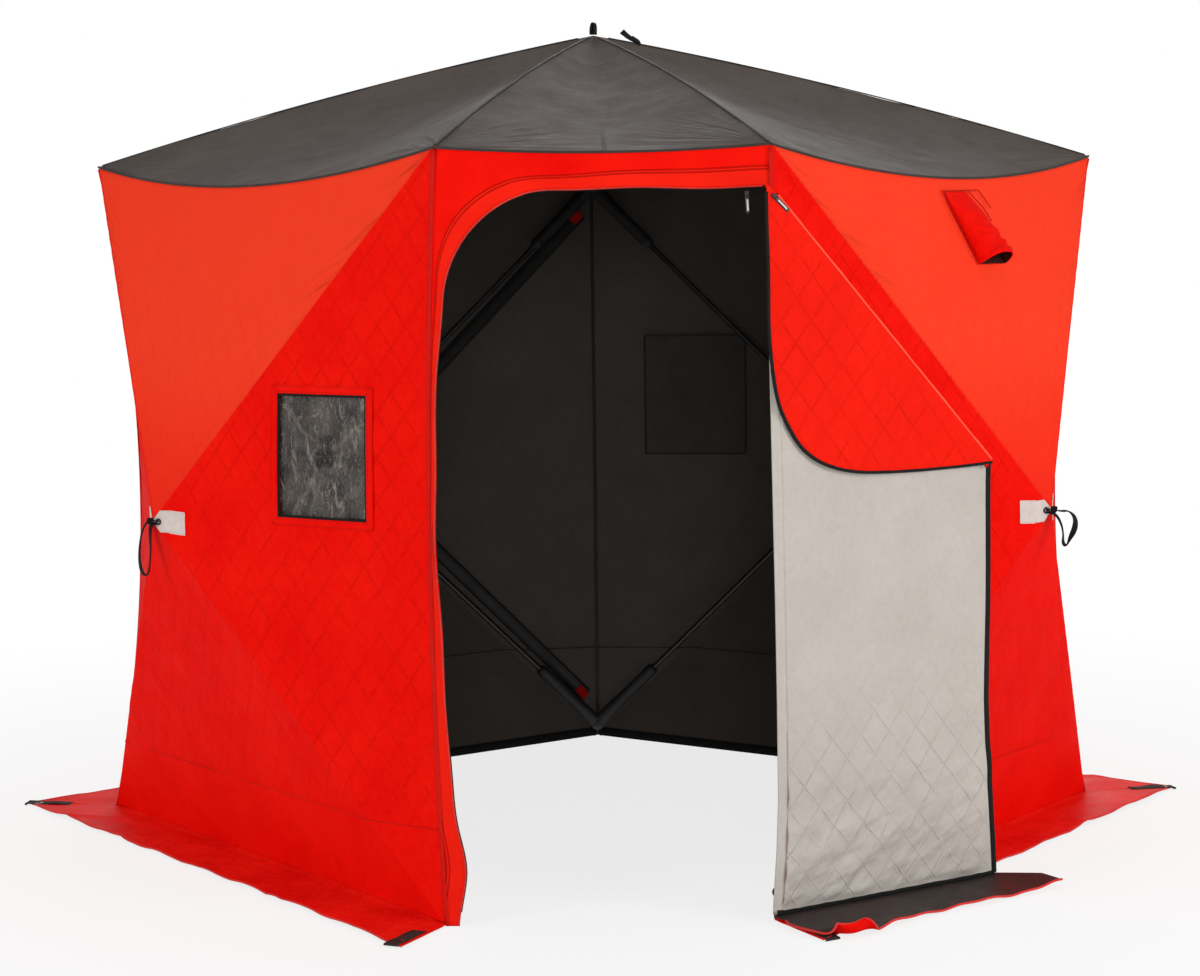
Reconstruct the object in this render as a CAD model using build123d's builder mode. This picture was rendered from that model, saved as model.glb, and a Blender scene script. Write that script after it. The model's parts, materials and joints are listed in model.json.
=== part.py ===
"""Pop-up ice fishing hut: four popped-out fabric walls, a door corner and a hub-framed roof.

Frame: +Z up, the door faces -Y, the floor is z = 0, and the origin is the middle of the
ground that the hut and its skirts cover. Sizes are millimetres.
"""

import os
from math import atan2, cos, degrees, radians, sin, sqrt, tan

from build123d import *

# ---------------------------------------------------------------- driving dimensions
# plan: four equal walls and a narrow door panel across the front corner
wall_width = 1600
door_panel_width = 724
side_corner_span = 2604
# heights
eave_height = 1705
roof_hub_height = 2032
wall_hub_height = 855
hub_pop_out = 280
# how far tight fabric draws in between the corners
corner_waist = 80
eave_sag = 60
# fabric
wall_thickness = 5
roof_thickness = 4
seam_gap = 0.3
seam_mitre = 40
# pole frame
pole_diameter = 14
boot_diameter = 36
boot_length = 250
corner_knuckle_diameter = 44
corner_seat_inset = 36
corner_seat_drop = 52
corner_seat_rise = 46
hub_diameter = 84
hub_height = 30
hub_clearance = 0.3
socket_depth = 10
socket_clearance = 0.2
# doorway in the door panel
header_height = 92
jamb_width = 25
hinge_strip_width = 8
doorway_corner_radius = 235
# door
door_thickness = 5
door_clearance = 6
door_foot_gap = 16.4
door_root = 1
# the open door rests this many degrees in front of the wall panel beside it
door_rest_gap_angle = 1.7
hinge_piping_diameter = 12
piping_sink = 1
hinge_gap = 0.3
fold_start_drop = 6
fold_angle = 44.5
fold_bead_diameter = 10.4
fold_gap = 0.3
fold_sink = 1
fold_bead_end_inset = 4
door_skirt_hinge_width = 143
door_skirt_width = 210
door_skirt_free_width = 130
door_skirt_thickness = 3
door_skirt_end_inset = 24
# snow skirts and their anchor points
skirt_width = 175
skirt_thickness = 4
strap_width = 40
strap_length = 120
strap_thickness = 2
strap_end_margin = 4
grommet_diameter = 26
grommet_hole = 12
grommet_inset = 28
trim_gap = 0.3
# how far a cutting block runs past what it cuts
overrun = 1
# windows, inside cover and vent
window_width = 260
window_height = 276
window_from_post = 185
window_above_hub = 33
pane_thickness = 1.5
window_trim_width = 14
window_trim_thickness = 1.5
cover_margin = 22
cover_thickness = 3
vent_width = 190
vent_length = 185
vent_below_eave = 55
vent_stand_off = 60
vent_skin = 4
# small trim
patch_length = 105
patch_height = 52
patch_thickness = 1.5
loop_webbing_width = 18
loop_webbing_thickness = 3
loop_length = 120
loop_width = 46
brace_width = 42
brace_thickness = 8
brace_setback = 62
brace_end_margin = 20
brace_tab_length = 42
brace_tab_width = 26
roof_tab_width = 16
roof_tab_height = 32
roof_tab_thickness = 3
second_tab_distance = 120
zip_pull_width = 9
zip_pull_length = 42
zip_pull_thickness = 3
# each pull's distance from the hinge side of the doorway, and its turn
zip_pull_places = ((42, 0), (12, 35))

# ---------------------------------------------------------------- plan and corner points
half_span = side_corner_span / 2
half_door = door_panel_width / 2
front_depth = sqrt(wall_width**2 - (half_span - half_door) ** 2)
back_depth = sqrt(wall_width**2 - half_span**2)


def outward(start, end):
    """Unit normal of the wall from start to end, pointing out of the hut."""
    along = (end - start).normalized()
    return Vector(-along.Y, along.X)


def mitre(corner, normal, other_normal, distance):
    """Point that lies the same distance outside both walls of a corner."""
    return corner + (normal + other_normal) * (distance / (1 + normal.dot(other_normal)))


def plan_corners(side_y):
    """The five corners, clockwise from the left door post, seen from above."""
    return {
        "left_post": Vector(-half_door, side_y - front_depth),
        "left": Vector(-half_span, side_y),
        "back": Vector(0, side_y + back_depth),
        "right": Vector(half_span, side_y),
        "right_post": Vector(half_door, side_y - front_depth),
    }


wall_ends = {
    "front_left": ("left_post", "left"),
    "back_left": ("left", "back"),
    "back_right": ("back", "right"),
    "front_right": ("right", "right_post"),
}
door_normal = Vector(0, -1)


def wall_normals(corners):
    """Outward normals of the four walls."""
    return {name: outward(corners[a], corners[b]) for name, (a, b) in wall_ends.items()}


corner_walls = {
    "left_post": ("door", "front_left"),
    "left": ("front_left", "back_left"),
    "back": ("back_left", "back_right"),
    "right": ("back_right", "front_right"),
    "right_post": ("front_right", "door"),
}


def mitre_at(corners, name, distance):
    """Mitre point of a named corner, outside the hut for a positive distance."""
    normals = wall_normals(corners) | {"door": door_normal}
    first, second = corner_walls[name]
    return mitre(corners[name], normals[first], normals[second], distance)


# the side corners lie at this y, so that the skirts reach as far to the front as to the back
unshifted = plan_corners(0)
front_reach = mitre_at(unshifted, "left_post", skirt_width).Y
back_reach = mitre_at(unshifted, "back", skirt_width).Y
side_corner_y = -(front_reach + back_reach) / 2

corners = plan_corners(side_corner_y)
normals = wall_normals(corners)
door_plane_y = corners["left_post"].Y
centre = Vector(0, side_corner_y, eave_height / 2)
roof_hub = Vector(0, side_corner_y, roof_hub_height)


def at_height(point, z):
    """The plan point lifted to a height."""
    return Vector(point.X, point.Y, z)


def hub_point(wall):
    """Outer tip of a wall's popped-out hub."""
    a, b = (corners[name] for name in wall_ends[wall])
    return at_height((a + b) / 2 + normals[wall] * hub_pop_out, wall_hub_height)


def eave_middle(wall):
    """Lowest point of a wall's eave, in the plane of its upper panel."""
    a, b = (corners[name] for name in wall_ends[wall])
    lean = eave_sag * hub_pop_out / (eave_height - wall_hub_height)
    return at_height((a + b) / 2 + normals[wall] * lean, eave_height - eave_sag)


def waist_point(name):
    """Middle of a corner seam, drawn in towards the hut; a door post stays straight."""
    drawn_in = 0 if name.endswith("post") else corner_waist
    toward = (at_height(centre, 0) - corners[name]).normalized()
    return at_height(corners[name] + toward * drawn_in, wall_hub_height)


# ---------------------------------------------------------------- building helpers
def inward_plane(origin, along, third):
    """Plane through three points, x towards the second, z pointing into the hut."""
    normal = (along - origin).cross(third - origin).normalized()
    if normal.dot(centre - origin) < 0:
        normal = -normal
    return Plane(origin=origin, x_dir=along - origin, z_dir=normal)


def panel_sketch(plane, points, inset):
    """Closed outline through world points on a plane, drawn in by an inset."""
    local = [plane.to_local_coords(point) for point in points]
    with BuildSketch(plane) as outline:
        with BuildLine():
            Polyline(*[(point.X, point.Y) for point in local], close=True)
        make_face()
        offset(amount=-inset, kind=Kind.INTERSECTION)
    return outline.sketch


def add_panel(points, thickness):
    """Adds a flat fabric panel: outer face through the points, edges mitred for the seams."""
    plane = inward_plane(*points[:3])
    extrude(panel_sketch(plane, points, seam_gap), amount=thickness, taper=seam_mitre)


def save(part, name):
    """Labels a finished piece and writes its STEP file."""
    part.label = name
    export_step(part, f"parts/{name}.step")


os.makedirs("parts", exist_ok=True)


# ---------------------------------------------------------------- walls
def side_panels(wall, end):
    """Outlines of the panels between a wall's hub and one of its corner seams."""
    hub, post = hub_point(wall), corners[end]
    top, waist, foot = at_height(post, eave_height), waist_point(end), at_height(post, 0)
    if end.endswith("post"):
        return [(foot, hub, top)]
    return [(waist, hub, top), (foot, hub, waist)]


def window_plane(wall, end):
    """Plane of the panel that takes a window: origin at hub height on the corner seam, y up."""
    hub, post = hub_point(wall), corners[end]
    return inward_plane(waist_point(end), hub, at_height(post, eave_height))


windows = [("front_left", "left_post"), ("back_right", "back")]
window_centre = (
    window_from_post + window_width / 2,
    window_above_hub + window_height / 2,
)


def window_box(plane, grow, start, depth, mode=Mode.ADD):
    """Adds or cuts a block of the window's size, grown all round, from a start depth."""
    with BuildSketch(plane.offset(start)) as outline:
        with Locations(window_centre):
            Rectangle(window_width + 2 * grow, window_height + 2 * grow)
    extrude(outline.sketch, amount=depth, mode=mode)


def wall_panels(wall):
    """Outlines of all the panels of a wall, each starting at its hub."""
    hub = hub_point(wall)
    a, b = (corners[name] for name in wall_ends[wall])
    upper = [hub, at_height(a, eave_height), eave_middle(wall), at_height(b, eave_height)]
    lower = [hub, at_height(a, 0), at_height(b, 0)]
    sides = [points for end in wall_ends[wall] for points in side_panels(wall, end)]
    return [upper, lower] + sides


for wall in wall_ends:
    with BuildPart() as wall_part:
        for points in wall_panels(wall):
            add_panel(points, wall_thickness)
        for window_wall, side in windows:
            if window_wall == wall:
                opening = window_plane(wall, side)
                window_box(
                    opening, 0, -overrun, wall_thickness + 2 * overrun, Mode.SUBTRACT
                )
    save(wall_part.part, f"{wall}_wall")

# ---------------------------------------------------------------- roof
roof_panels = [
    [roof_hub, at_height(corners[name], eave_height), eave_middle(wall)]
    for wall, ends in wall_ends.items()
    for name in ends
]
roof_panels.append(
    [roof_hub] + [at_height(corners[name], eave_height) for name in ("left_post", "right_post")]
)
with BuildPart() as roof_canopy:
    for points in roof_panels:
        add_panel(points, roof_thickness)
save(roof_canopy.part, "roof_canopy")

# ---------------------------------------------------------------- door panel and doorway
door_front = Plane(origin=(0, door_plane_y, 0), x_dir=(1, 0, 0), z_dir=(0, -1, 0))
doorway_left = -half_door + jamb_width
doorway_right = half_door - hinge_strip_width
doorway_top = eave_height - header_height
arch_start = doorway_top - doorway_corner_radius


def arched_outline(left, right, foot, top, radius):
    """Doorway shape: square at the right, a round top corner at the left."""
    with BuildSketch(door_front) as outline:
        with BuildLine():
            side = Line((left, foot), (left, top - radius))
            arch = RadiusArc(side @ 1, (left + radius, top), radius)
            Polyline(arch @ 1, (right, top), (right, foot), side @ 0)
        make_face()
    return outline.sketch


def add_door_panel():
    """Adds the whole flat door panel with its doorway cut out."""
    points = [
        at_height(corners["left_post"], 0),
        at_height(corners["right_post"], 0),
        at_height(corners["right_post"], eave_height),
        at_height(corners["left_post"], eave_height),
    ]
    add_panel(points, wall_thickness)
    doorway = arched_outline(
        doorway_left, doorway_right, -overrun, doorway_top, doorway_corner_radius
    )
    extrude(doorway, amount=2 * wall_thickness, both=True, mode=Mode.SUBTRACT)


with BuildPart() as door_header:
    add_door_panel()
    split(bisect_by=Plane.XY.offset(arch_start), keep=Keep.TOP)
save(door_header.part, "door_header")

with BuildPart() as left_door_jamb:
    add_door_panel()
    split(bisect_by=Plane.XY.offset(arch_start - seam_gap), keep=Keep.BOTTOM)
    split(bisect_by=Plane.YZ, keep=Keep.BOTTOM)
save(left_door_jamb.part, "left_door_jamb")

# the hinge seam: a strip along the right post with a round piping that the door turns on
piping_radius = hinge_piping_diameter / 2
hinge_axis = Vector(
    doorway_right - piping_sink, door_plane_y - piping_radius + piping_sink
)
leaf_top = doorway_top - door_clearance
with BuildPart() as right_door_jamb:
    add_door_panel()
    split(bisect_by=Plane.XY.offset(arch_start - seam_gap), keep=Keep.BOTTOM)
    split(bisect_by=Plane.YZ, keep=Keep.TOP)
    with BuildSketch(Plane.XY.offset(door_foot_gap)):
        with Locations((hinge_axis.X, hinge_axis.Y)):
            Circle(piping_radius)
    extrude(amount=arch_start - seam_gap - door_foot_gap)
save(right_door_jamb.part, "right_door_jamb")

# ---------------------------------------------------------------- pole frame
pole_radius = pole_diameter / 2
hub_radius = hub_diameter / 2


def rim_fall(tip, axis, points):
    """How far a sloping panel falls from the tip to a hub's rim, where it falls most."""
    first, *_, last = [point - tip for point in points if (point - tip).length > hub_radius]
    falls = []
    for share in (0, 0.25, 0.5, 0.75, 1):
        toward = first * (1 - share) + last * share
        drop = -toward.dot(axis)
        falls.append(hub_radius * drop / (toward + axis * drop).length)
    return max(falls)


def hub_seat(tip, axis, panels, fabric):
    """Middle of a hub disc whose rim fits under the sloping panels that meet at its tip."""
    depth = 0
    for points in panels:
        square = abs(inward_plane(*points[:3]).z_dir.dot(axis))
        depth = max(depth, rim_fall(tip, axis, points) + fabric / square)
    return tip - axis * (depth + hub_clearance + hub_height / 2)


wall_hub_seats = {
    wall: hub_seat(hub_point(wall), normals[wall], wall_panels(wall), wall_thickness)
    for wall in wall_ends
}
roof_hub_seat = hub_seat(roof_hub, Vector(0, 0, 1), roof_panels, roof_thickness)


def top_seat(name):
    """Where the poles of an eave corner meet."""
    return at_height(
        mitre_at(corners, name, -corner_seat_inset), eave_height - corner_seat_drop
    )


def foot_seat(name):
    """Where the poles of a floor corner meet."""
    return at_height(mitre_at(corners, name, -corner_seat_inset), corner_seat_rise)


def pole_ends(wall):
    """The four corner seats that a wall's poles reach."""
    return [seat(name) for name in wall_ends[wall] for seat in (top_seat, foot_seat)]


def along(start, end, distance=0):
    """Plane square to the line from start to end, a distance along it."""
    toward = (end - start).normalized()
    return Plane(origin=start + toward * distance, z_dir=toward)


def add_rod(start, end, radius, first, last, mode=Mode.ADD):
    """Adds a round bar on the line from start to end, short of its ends by first and last."""
    with BuildSketch(along(start, end, first)) as section:
        Circle(radius)
    extrude(section.sketch, amount=(end - start).length - first - last, mode=mode)


def socket_start(seat, ends):
    """How far from a hub's middle its poles start, so that neighbouring poles stay apart."""
    rays = [end - seat for end in ends]
    closest = min(a.get_angle(b) for a in rays for b in rays if a is not b)
    apart = (pole_radius + socket_clearance) / sin(radians(closest) / 2)
    return max(hub_radius - socket_depth, apart)


def add_hub(seat, axis, ends):
    """Adds a hub disc with a socket for each pole."""
    with BuildSketch(Plane(origin=seat - axis * (hub_height / 2), z_dir=axis)) as disc:
        Circle(hub_radius)
    extrude(disc.sketch, amount=hub_height)
    for end in ends:
        reach = (end - seat).length - hub_diameter
        add_rod(
            seat, end, pole_radius + socket_clearance, socket_start(seat, ends), reach,
            Mode.SUBTRACT,
        )


def add_poles(seat, ends):
    """Adds the poles from a hub's sockets to the boots at the corners."""
    for end in ends:
        add_rod(
            seat, end, pole_radius,
            socket_start(seat, ends) + socket_clearance, boot_length + socket_clearance,
        )


roof_pole_ends = [top_seat(name) for name in corners]
with BuildPart() as roof_frame_hub:
    add_hub(roof_hub_seat, Vector(0, 0, 1), roof_pole_ends)
save(roof_frame_hub.part, "roof_hub")
with BuildPart() as roof_poles:
    add_poles(roof_hub_seat, roof_pole_ends)
save(roof_poles.part, "roof_poles")

for wall in wall_ends:
    with BuildPart() as wall_hub:
        add_hub(wall_hub_seats[wall], normals[wall], pole_ends(wall))
    save(wall_hub.part, f"{wall}_hub")
    with BuildPart() as wall_poles:
        add_poles(wall_hub_seats[wall], pole_ends(wall))
    save(wall_poles.part, f"{wall}_poles")


def add_boots(seat, hub_seats):
    """Adds the padded boots of the poles that meet in one corner, joined by a knuckle."""
    with Locations(seat):
        Sphere(corner_knuckle_diameter / 2)
    for hub_seat in hub_seats:
        add_rod(seat, hub_seat, boot_diameter / 2, 0, (hub_seat - seat).length - boot_length)


def walls_at(name):
    """The walls that share a corner."""
    return [wall for wall, ends in wall_ends.items() if name in ends]


with BuildPart() as upper_corner_boots:
    for name in corners:
        hub_seats = [wall_hub_seats[wall] for wall in walls_at(name)]
        add_boots(top_seat(name), hub_seats + [roof_hub_seat])
save(upper_corner_boots.part, "upper_corner_boots")

with BuildPart() as lower_corner_boots:
    for name in corners:
        add_boots(foot_seat(name), [wall_hub_seats[wall] for wall in walls_at(name)])
save(lower_corner_boots.part, "lower_corner_boots")

# padded braces on the back left wall, beside the poles that reach the back corner
def brace_line(far_z):
    """Panel plane of a brace, and its middle line's start, direction and length on it."""
    corner = at_height(corners["back"], far_z)
    panel = inward_plane(waist_point("back"), hub_point("back_left"), corner)
    end, tip = (panel.to_local_coords(p) for p in (corner, hub_point("back_left")))
    run = Vector(tip.X - end.X, tip.Y - end.Y)
    side = brace_setback if end.Y > 0 else -brace_setback
    inset = brace_setback + brace_width / 2 + brace_end_margin
    aside = Vector(run.Y, -run.X).normalized() * side
    start = Vector(end.X, end.Y) + aside + run.normalized() * inset
    return panel, start, run.normalized(), run.length - 2 * inset


def add_brace_block(line, length, width, depth, thickness):
    """Adds a flat block from the start of a brace's line, at a depth inside the fabric."""
    panel, start, run, _ = line
    middle = start + run * (length / 2)
    turn = degrees(atan2(run.Y, run.X))
    with BuildSketch(panel.offset(depth)) as outline:
        with Locations(Location((middle.X, middle.Y), turn)):
            Rectangle(length, width)
    extrude(outline.sketch, amount=thickness)


brace_lines = [brace_line(eave_height), brace_line(0)]
brace_depth = wall_thickness + trim_gap
with BuildPart() as brace_straps:
    for line in brace_lines:
        add_brace_block(line, line[3], brace_width, brace_depth, brace_thickness)
save(brace_straps.part, "brace_straps")

tab_depth = brace_depth + brace_thickness + trim_gap
with BuildPart() as brace_tabs:
    for line in brace_lines:
        add_brace_block(line, brace_tab_length, brace_tab_width, tab_depth, patch_thickness)
save(brace_tabs.part, "brace_tabs")


# ---------------------------------------------------------------- skirts and anchor points
def skirt_tip(name):
    """Outer corner of the skirts at a corner, and the direction to it."""
    tip = mitre_at(corners, name, skirt_width)
    return tip, (tip - corners[name]).normalized()


def strap_shift(name):
    """A door post's strap lies on the end of its one skirt, not across two."""
    _, toward = skirt_tip(name)
    side = {"left_post": -1, "right_post": 1}.get(name, 0)
    return Vector(-toward.Y, toward.X) * side * (strap_width / 2 + strap_end_margin)


def anchor_point(name):
    """Middle of the grommet near a skirt's corner."""
    tip, toward = skirt_tip(name)
    return tip - toward * grommet_inset + strap_shift(name)


def add_at_anchors(radius, bottom, height, mode=Mode.ADD):
    """Adds or cuts a round block at every anchor point."""
    for name in corners:
        with BuildSketch(Plane(origin=at_height(anchor_point(name), bottom))) as disc:
            Circle(radius)
        extrude(disc.sketch, amount=height, mode=mode)


skirt_root = skirt_thickness * hub_pop_out / wall_hub_height
grommet_seat = grommet_diameter / 2 + seam_gap
for wall, (start, end) in wall_ends.items():
    with BuildPart() as skirt:
        edge_points = [
            mitre_at(corners, start, skirt_root),
            mitre_at(corners, end, skirt_root),
            mitre_at(corners, end, skirt_width),
            mitre_at(corners, start, skirt_width),
        ]
        extrude(panel_sketch(Plane.XY, edge_points, seam_gap), amount=skirt_thickness)
        add_at_anchors(
            grommet_seat, -overrun, skirt_thickness + 2 * overrun, Mode.SUBTRACT
        )
    save(skirt.part, f"{wall}_skirt")

strap_bottom = skirt_thickness + trim_gap
with BuildPart() as anchor_straps:
    for name in corners:
        tip, toward = skirt_tip(name)
        middle = at_height(tip - toward * (strap_length / 2) + strap_shift(name), strap_bottom)
        with BuildSketch(Plane(origin=middle, x_dir=toward, z_dir=(0, 0, 1))) as strap:
            Rectangle(strap_length, strap_width)
        extrude(strap.sketch, amount=strap_thickness)
    add_at_anchors(
        grommet_seat, strap_bottom - overrun, strap_thickness + 2 * overrun, Mode.SUBTRACT
    )
save(anchor_straps.part, "anchor_straps")

grommet_height = strap_bottom + strap_thickness + trim_gap
with BuildPart() as anchor_grommets:
    add_at_anchors(grommet_diameter / 2, 0, grommet_height)
    add_at_anchors(
        grommet_hole / 2, -overrun, grommet_height + 2 * overrun, Mode.SUBTRACT
    )
save(anchor_grommets.part, "anchor_grommets")

# ---------------------------------------------------------------- windows, cover and vent
with BuildPart() as window_panes:
    for wall, side in windows:
        depth = (wall_thickness - pane_thickness) / 2
        window_box(window_plane(wall, side), -seam_gap, depth, pane_thickness)
save(window_panes.part, "window_panes")

trim_front = -trim_gap - window_trim_thickness
with BuildPart() as window_trims:
    for wall, side in windows:
        plane = window_plane(wall, side)
        window_box(plane, window_trim_width, trim_front, window_trim_thickness)
        window_box(
            plane, 0, trim_front - overrun, window_trim_thickness + 2 * overrun, Mode.SUBTRACT
        )
save(window_trims.part, "window_trims")

with BuildPart() as window_cover:
    cover_plane = window_plane(*windows[1])
    window_box(cover_plane, cover_margin, wall_thickness + trim_gap, cover_thickness)
save(window_cover.part, "window_cover")

# hooded vent high on the front right wall: a fabric wedge, open at the foot
vent_plane = inward_plane(
    eave_middle("front_right"),
    hub_point("front_right"),
    at_height(corners["right"], eave_height),
)
vent_slope = vent_stand_off / vent_length
vent_cheek = vent_skin * sqrt(1 + vent_slope**2)


def vent_wedge(side_inset, skin, past_mouth):
    """Adds the hood's wedge, drawn in by its skin, or cuts it as the hood's hollow."""
    edge = vent_plane.from_local_coords((vent_below_eave, side_inset - vent_width / 2, -trim_gap))
    side = Plane(origin=edge, x_dir=vent_plane.x_dir, z_dir=vent_plane.y_dir)
    first, last = skin / vent_slope, vent_length + past_mouth
    with BuildSketch(side) as profile:
        with BuildLine():
            Polyline((first, 0), (last, 0), (last, last * vent_slope - skin), close=True)
        make_face()
    mode = Mode.SUBTRACT if skin else Mode.ADD
    extrude(profile.sketch, amount=vent_width - 2 * side_inset, mode=mode)


with BuildPart() as vent_hood:
    vent_wedge(0, 0, 0)
    vent_wedge(vent_skin, vent_cheek, overrun)
save(vent_hood.part, "vent_hood")


# ---------------------------------------------------------------- hub patches and pull loops
def add_patch(wall, end, far_z):
    """Adds one half of the patch that runs from a hub towards a corner seam."""
    hub = hub_point(wall)
    plane = inward_plane(hub, waist_point(end), at_height(corners[end], far_z))
    ridge = plane.to_local_coords(at_height(corners[end], far_z))
    half = patch_height / 2 * (1 if ridge.Y > 0 else -1)
    with BuildSketch(plane.offset(-trim_gap - patch_thickness)) as outline:
        with BuildLine():
            Polyline(
                (0, 0), (half * ridge.X / ridge.Y, half), (patch_length, half),
                (patch_length, 0), close=True,
            )
        make_face()
        offset(amount=-seam_gap, kind=Kind.INTERSECTION)
    extrude(outline.sketch, amount=patch_thickness)


with BuildPart() as hub_patches:
    for wall, ends in wall_ends.items():
        for end in ends:
            for far_z in (eave_height, 0):
                add_patch(wall, end, far_z)
save(hub_patches.part, "hub_patches")

steepest = (hub_pop_out + corner_waist) / (wall_width / 2 - corner_waist)
loop_stand_off = (trim_gap + patch_thickness) * sqrt(1 + steepest**2) + trim_gap
loop_middle = (loop_stand_off + loop_width / 2, loop_width / 2 - loop_length / 2)
with BuildPart() as pull_loops:
    for wall in wall_ends:
        out = normals[wall]
        side = Plane(origin=hub_point(wall), x_dir=out, z_dir=out.cross(Vector(0, 0, 1)))
        with BuildSketch(side) as band:
            with Locations(loop_middle):
                SlotOverall(loop_length, loop_width, rotation=90)
                SlotOverall(
                    loop_length - 2 * loop_webbing_thickness,
                    loop_width - 2 * loop_webbing_thickness,
                    rotation=90,
                    mode=Mode.SUBTRACT,
                )
        extrude(band.sketch, amount=loop_webbing_width / 2, both=True)
save(pull_loops.part, "pull_loops")

# two webbing tabs on the roof: one on the tip and one down the right ridge
ridge_run = (at_height(corners["right"], eave_height) - roof_hub).normalized()
tab_seats = [roof_hub, roof_hub + ridge_run * second_tab_distance]
with BuildPart() as roof_tabs:
    for seat in tab_seats:
        with BuildSketch(Plane(origin=seat + Vector(0, 0, trim_gap + seam_gap))) as foot:
            Rectangle(roof_tab_thickness, roof_tab_width)
        extrude(foot.sketch, amount=roof_tab_height)
save(roof_tabs.part, "roof_tabs")

# ---------------------------------------------------------------- door
# The door's own plane: x from the hinge to the free edge, y up, z out of the lining side.
panel_run = hub_point("front_right") - at_height(corners["right_post"], wall_hub_height)
door_rest_angle = degrees(atan2(panel_run.Y, panel_run.X)) - door_rest_gap_angle
rest = radians(door_rest_angle)
door_run = Vector(cos(rest), sin(rest))
door_plane = Plane(origin=hinge_axis, x_dir=door_run, z_dir=door_run.cross(Vector(0, 0, 1)))
door_back = piping_radius + hinge_gap
door_lining = door_back + door_thickness
door_edge = hinge_axis.X - doorway_left - door_clearance
fold_start = leaf_top - fold_start_drop
fold_end = fold_start - (door_edge - door_root) * tan(radians(fold_angle))

with BuildPart() as door_leaf:
    with BuildSketch(door_plane.offset(door_back)) as outline:
        with BuildLine():
            Polyline(
                (door_root, door_foot_gap), (door_edge, door_foot_gap),
                (door_edge, fold_end - fold_gap), (door_root, fold_start - fold_gap),
                close=True,
            )
        make_face()
    extrude(outline.sketch, amount=door_thickness)
save(door_leaf.part, "door_leaf")

# the door's top corner, folded down over the lining along a slanting rolled edge
bead_radius = fold_bead_diameter / 2
fold_depth = door_lining + fold_gap + bead_radius
slant = radians(fold_angle)
fold_origin = door_plane.from_local_coords((door_root, fold_start, fold_depth))
fold_run = door_plane.x_dir * cos(slant) - door_plane.y_dir * sin(slant)
fold_plane = Plane(origin=fold_origin, x_dir=fold_run, z_dir=door_plane.z_dir)
fold_length = (door_edge - door_root) / cos(slant)


def folded(x, y):
    """A point of the closed door's outline, turned over the fold line."""
    across, up = x - door_root, y - fold_start
    return (
        across * cos(slant) - up * sin(slant),
        -across * sin(slant) - up * cos(slant),
    )


with BuildPart() as door_top_flap:
    with BuildSketch(fold_plane.offset(bead_radius - fold_sink)) as outline:
        with BuildLine():
            Polyline(
                (fold_sink, -fold_sink), folded(door_root, leaf_top),
                folded(door_edge, leaf_top), (fold_length - fold_sink, -fold_sink),
                close=True,
            )
        make_face()
        free_corner = outline.vertices().sort_by(Axis.Y)[0]
        fillet(free_corner, radius=doorway_corner_radius - door_clearance)
    extrude(outline.sketch, amount=door_thickness)
    with BuildSketch(Plane(origin=fold_origin, z_dir=fold_run)) as bead:
        Circle(bead_radius)
    extrude(bead.sketch, amount=fold_length - fold_bead_end_inset)
save(door_top_flap.part, "door_top_flap")

# the door's own skirt, trailing over the ground on the lining side
skirt_top = door_foot_gap - trim_gap
with BuildPart() as door_skirt:
    ground = Plane(
        origin=at_height(hinge_axis, skirt_top - door_skirt_thickness),
        x_dir=door_run,
        z_dir=(0, 0, 1),
    )
    with BuildSketch(ground) as outline:
        with BuildLine():
            Polyline(
                (door_root, -door_back), (door_edge, -door_back),
                (door_edge - door_skirt_end_inset, -door_back - door_skirt_free_width),
                (door_root + door_skirt_end_inset, -door_back - door_skirt_width),
                (door_root, -door_back - door_skirt_hinge_width),
                close=True,
            )
        make_face()
    extrude(outline.sketch, amount=door_skirt_thickness)
save(door_skirt.part, "door_skirt")

# two zip sliders with their pulls, parked above the doorway's hinge corner
with BuildPart() as zip_pulls:
    for from_hinge, turn in zip_pull_places:
        middle = (doorway_right - from_hinge, doorway_top + door_clearance + zip_pull_length / 2)
        spot = Location(middle, turn)
        with BuildSketch(door_front.offset(trim_gap)) as pull:
            with Locations(spot):
                Rectangle(zip_pull_width, zip_pull_length)
        extrude(pull.sketch, amount=zip_pull_thickness)
save(zip_pulls.part, "zip_pulls")
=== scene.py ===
"""Looks of the pop-up ice fishing hut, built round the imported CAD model. Metres, +Z up, the door faces -Y."""

import json
import math

import bpy
import numpy as np
from mathutils import Matrix, Vector, noise


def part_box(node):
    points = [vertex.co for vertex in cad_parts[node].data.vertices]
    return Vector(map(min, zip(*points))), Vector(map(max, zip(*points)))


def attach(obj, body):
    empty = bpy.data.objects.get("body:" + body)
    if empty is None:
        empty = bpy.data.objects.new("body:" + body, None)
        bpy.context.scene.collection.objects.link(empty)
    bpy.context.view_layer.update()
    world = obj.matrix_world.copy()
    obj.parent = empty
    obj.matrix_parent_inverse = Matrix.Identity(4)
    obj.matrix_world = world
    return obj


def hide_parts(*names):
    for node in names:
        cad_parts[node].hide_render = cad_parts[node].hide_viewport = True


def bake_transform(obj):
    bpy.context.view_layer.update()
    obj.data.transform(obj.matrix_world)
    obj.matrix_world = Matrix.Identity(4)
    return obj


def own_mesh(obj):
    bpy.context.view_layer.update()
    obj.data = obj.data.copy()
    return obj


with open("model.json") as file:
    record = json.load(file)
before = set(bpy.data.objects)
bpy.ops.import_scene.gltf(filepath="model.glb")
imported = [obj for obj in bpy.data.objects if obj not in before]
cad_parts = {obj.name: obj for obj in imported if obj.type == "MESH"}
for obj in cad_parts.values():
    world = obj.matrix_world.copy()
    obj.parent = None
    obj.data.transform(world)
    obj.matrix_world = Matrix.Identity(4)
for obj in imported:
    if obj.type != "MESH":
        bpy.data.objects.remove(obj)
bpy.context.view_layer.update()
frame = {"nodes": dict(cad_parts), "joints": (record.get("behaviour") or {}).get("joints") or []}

UP = np.array([0.0, 0.0, 1.0])


def vec(*values):
    """A point or direction as a numpy array."""
    return np.array(values, float)


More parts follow.
